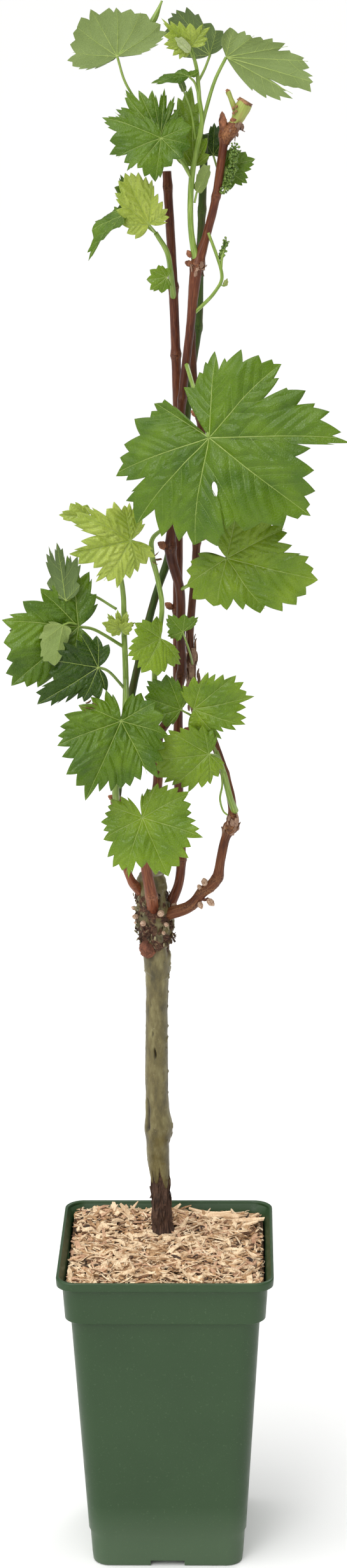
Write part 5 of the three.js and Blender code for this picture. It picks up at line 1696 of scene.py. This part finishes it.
grow_mass("foliage_top", 111, (
    ((25.4, -4, 909, 2.4), (21.7, -8, 933, 1.9), (22.3, -10, 966, 1.9), (25.3, -10, 982, 1.6),
     (29.1, -10, 1002, 1.6), (27.4, -10, 1016, 1.4), (26, -10, 1034, 1.2), (22.5, -13.5, 1048, 1)),
    ((22.3, -9.4, 966, 1.2), (17, -12, 975, 1), (12.6, -14, 983, 0.8)),
    ((-24, -3.5, 1043, 1), (-9, 3, 1056, 1.6), (-1.5, 5.5, 1065, 2), (3.8, 6, 1076.5, 0.7)),
), (
    dict(at=(-24.9, -4, 1042.2), size=34.3, aim=120, lean=-25, roll=180, fold=8, tone="mid",
         veins=(-52, -24, 28, 58, 84),
         left=((19.2, 0.94, 0.86, 5.8), (27.5, 0.92, 0.84, 24.1), (45.6, 0.91, 0.83, 33.4),
               (64.5, 0.95, 0.85, 52.3), (94.9, 1.03, 0.89, 74.3)),
         right=((13.2, 1, 0.85, 7.8), (31.9, 0.96, 0.93, 25.8), (43.7, 0.96, 0.88, 37.4),
                (62.9, 0.96, 0.81, 53.4), (70, 0.87, 0.86, 65)),
         stalk=((-19.7, 1, 1025), (-5.4, 3, 1003.5), (12, -5, 982), (22.3, -10, 967))),
    dict(at=(44.6, 2, 1041.1), size=60.7, aim=345, lean=12, roll=180, tone="mid",
         veins=(-90, -50, -24, -12, 12),
         left=((6, 1.01, 0.97, 1.7), (8, 0.81, 0.86, 6.6), (9.8, 0.71, 0.74, 8.6),
               (15, 0.86, 0.53, 10.4)),
         right=((3.3, 0.98, 0.93, 2.2), (7.8, 0.92, 0.85, 5.9), (14.3, 0.85, 0.83, 12.9),
                (20.7, 0.69, 0.7, 18.5), (27.2, 0.66, 0.56, 21.4), (35.9, 0.54, 0.53, 31.7),
                (43.8, 0.43, 0.44, 38.4), (55.4, 0.35, 0.35, 48.7), (70, 0.33, 0.31, 62),
                (98.9, 0.31, 0.27, 79.3)),
         stalk=((37.6, 1, 1027), (31, -6, 1006), (29.1, -10, 999))),
    dict(at=(34.3, 12, 1042.2), size=35.2, aim=123, lean=-10, roll=150, fold=8, tone="dark",
         veins=(-60, -30, 26, 52),
         left=((12.2, 0.95, 0.87, 6.7), (26.3, 0.77, 0.76, 19.8), (39.8, 0.58, 0.58, 27.8),
               (65.8, 0.5, 0.46, 50.3), (80.8, 0.42)),
         right=((7.8, 1.03, 0.95, 3.8), (16.6, 1.02, 0.97, 10.1), (33.6, 0.97, 0.93, 22),
                (52, 0.7, 0.7, 44)),
         stalk=((31, 4, 1034), (26.6, -8, 1026))),
    dict(at=(22.5, -14, 1048.2), size=25.8, aim=136, lean=15, fold=10, tone="young", blister=1.5,
         veins=(-80, -42, 36, 76),
         left=((21.2, 0.74, 0.66, 6.6), (36.9, 0.69, 0.57, 24), (45, 0.62, 0.56, 40),
               (66.8, 0.5, 0.42, 52), (86, 0.41, 0.34, 72), (101.5, 0.3, 0.26, 90)),
         right=((7.7, 0.8, 0.72, 2.5), (21.5, 0.7, 0.6, 13), (42.4, 0.6, 0.47, 30.5),
                (72.3, 0.63, 0.44, 60.8), (91.2, 0.67, 0.46, 79.4), (109.5, 0.46, 0.4, 98)),
         stalk=((22.6, -12, 1046),)),
    dict(at=(21.2, -18, 1030.1), size=25.2, aim=182, lean=20, roll=68, tone="mid",
         left=((24, 0.6),),
         right=((18, 0.75), (48, 0.41), (149, 0.39)),
         stalk=((24.7, -13, 1026), (27, -10, 1018))),
    dict(at=(3.4, -30, 992.5), size=27, aim=262, lean=22, tone="mid", wave=2.2,
         veins=(-104, -60, -30, 50, 84, 120),
         left=((27.3, 0.72, 0.66, 13.2), (53.1, 0.72, 0.58, 36.1), (83.3, 0.72, 0.6, 65.6),
               (119.7, 0.77, 0.58, 101.2), (147.4, 0.77, 0.68, 135.3)),
         right=((16.2, 0.98, 0.87, 10.5), (30, 0.92, 0.84, 24.3), (38.5, 1.12, 0.82, 35.5),
                (49.4, 1.04, 0.95, 44), (67.1, 1.26, 0.88, 57.8), (80.6, 1.21, 1.08, 74.7),
                (104.4, 1.5, 1.05, 90.7), (119.8, 0.93, 0.9, 112), (138.9, 0.66, 0.6, 130)),
         stalk=((14.4, -24, 979.6), (22.3, -10, 965))),
    dict(at=(2.5, -9, 992), size=30, aim=100, lean=-5, tone="mid", wave=2.2,
         veins=(-29, -14.7, 15.6, 30, 52),
         left=((15.6, 1.09, 0.84, 8), (27, 1.25, 0.88, 21), (48.6, 1.13, 0.9, 38.7),
               (67.6, 1.07, 0.82, 57)),
         right=((14.7, 1.03, 0.62, 7), (29.2, 0.91, 0.6, 22), (45, 0.72, 0.5, 37), (68, 0.63, 0.46, 56)),
         stalk=((11.6, -8, 987), (22.3, -10, 967))),
    dict(at=(23.5, -4, 972.6), size=50.9, aim=91.5, lean=-3, fold=8, tone="bright",
         left=((4, 0.95, 0.93, 3.1), (11.4, 0.88, 0.83, 8.2), (18.1, 0.75, 0.74, 15.1),
               (28, 0.55, 0.5, 22), (55, 0.3, 0.26, 42)),
         right=((6, 0.8, 0.77, 2.8), (13, 0.6, 0.55, 9), (28, 0.4, 0.36, 20), (55, 0.25, 0.22, 42)),
         stalk=((22.5, -9, 966),)),
    dict(at=(17.7, -4, 1019.6), size=13.5, aim=106, roll=160, fold=20, tone="dark",
         left=((14, 0.55), (40, 0.25)),
         right=((14, 0.55), (40, 0.25)),
         stalk=((22, -6, 1008), (25, -9, 990))),
    dict(at=(25.5, -9, 956.8), size=19.4, aim=63, roll=180, fold=18, tone="bright",
         left=((9, 0.8), (25.6, 0.45), (60, 0.2)),
         right=((12.4, 0.96, 0.94, 6.1), (20.9, 0.72, 0.78, 18), (40.4, 0.3, 0.36, 31)),
         stalk=((24, -9, 950),)),
    dict(at=(22.1, -17, 1045.2), size=14.6, aim=138, lean=10, fold=10, tone="woolly",
         left=((16.2, 0.6, 0.72, 6.7), (30, 0.32)),
         right=((17.8, 0.77, 0.8, 7.4), (36, 0.4)),
         stalk=((23.2, -13, 1042),)),
))


# Flower buds
# Two clusters of round green buds, each under 2 mm across, crowd round the ends of their stalks
# before the blossom opens.

bud_green = green_skin("bud_green", 1.3, (0.36, paint(54, 82, 20)), (0.66, paint(122, 148, 60)), 0.5, 0.3)
# How far out from a bud's middle each ring of it lies, and how wide it is there, in radii.
BUD_BALL = ((-0.8, 0.6), (-0.3, 0.95), (0.25, 1.0), (0.7, 0.75), (0.95, 0.35))


def add_flower_buds(name, count, spread, seed, path):
    """Round buds packed about a path. Each is a small ball on a short stalk of its own."""
    random = np.random.default_rng(seed)
    centres, radii = smooth_path(path, 0.5)
    picked = centres[random.integers(0, len(centres), count)]
    away = random.normal(0, 1, (count, 3))
    away /= np.linalg.norm(away, axis=1)[:, None]
    middles = picked + away * spread * random.uniform(0.35, 1, (count, 1)) ** 0.6
    parts = []
    for middle, out in zip(middles, away):
        radius = random.uniform(0.6, 0.95)
        stalk = [(*(middle - out * radius * 1.6), 0.25), (*(middle - out * radius * 0.9), 0.3)]
        ball = [(*(middle + out * radius * far), radius * wide) for far, wide in BUD_BALL]
        parts.append(tube(stalk + ball, 0.75, 7))
    add_piece(name, *joined(parts), bud_green, "foliage")


add_flower_buds("flower_buds_upper", 190, 3.4, 90, (
    (50.4, -6, 985.5, 1), (49.6, -6.4, 980, 1), (48.9, -6.6, 973.4, 1), (46, -6.4, 965, 1),
    (42.7, -6, 957, 1),
))
add_flower_buds("flower_buds_lower", 60, 2.4, 91, (
    (44.8, -6, 926, 1), (43.4, -6.4, 921, 1), (40.4, -6.4, 914.6, 1),
))


# Dried scraps
# Brown curled scraps of dead leaf cling to the rim of the left shoot's large low leaf and to the
# centre shoot.

scrap_random = np.random.default_rng(95)
scrap_brown = chip_material("scrap_brown", paint(70, 44, 28), paint(138, 98, 64))
places = np.array((
    (-50, -52, 626), (-48, -52.5, 623), (-45.6, -52.5, 625.5), (-43, -52, 628), (-47, -52, 629.5),
    (-51.4, -51.5, 621), (-2.4, -20, 722), (-1, -20, 718.5), (-3.4, -19.5, 716),
))
count = len(places)
yaws = scrap_random.uniform(-0.6, 0.6, count)
tilts = scrap_random.uniform(-1.1, 1.1, count)
rolls = scrap_random.uniform(-0.7, 0.7, count)
lengths = scrap_random.uniform(3, 6.5, count)
widths = scrap_random.uniform(1.2, 2.6, count)
heights = np.full(count, 0.35)
points, faces = chip_mesh(places, yaws, tilts, rolls, lengths, widths, heights, scrap_random)
add_piece("dried_scraps", points, faces, scrap_brown, "foliage", smooth=False)
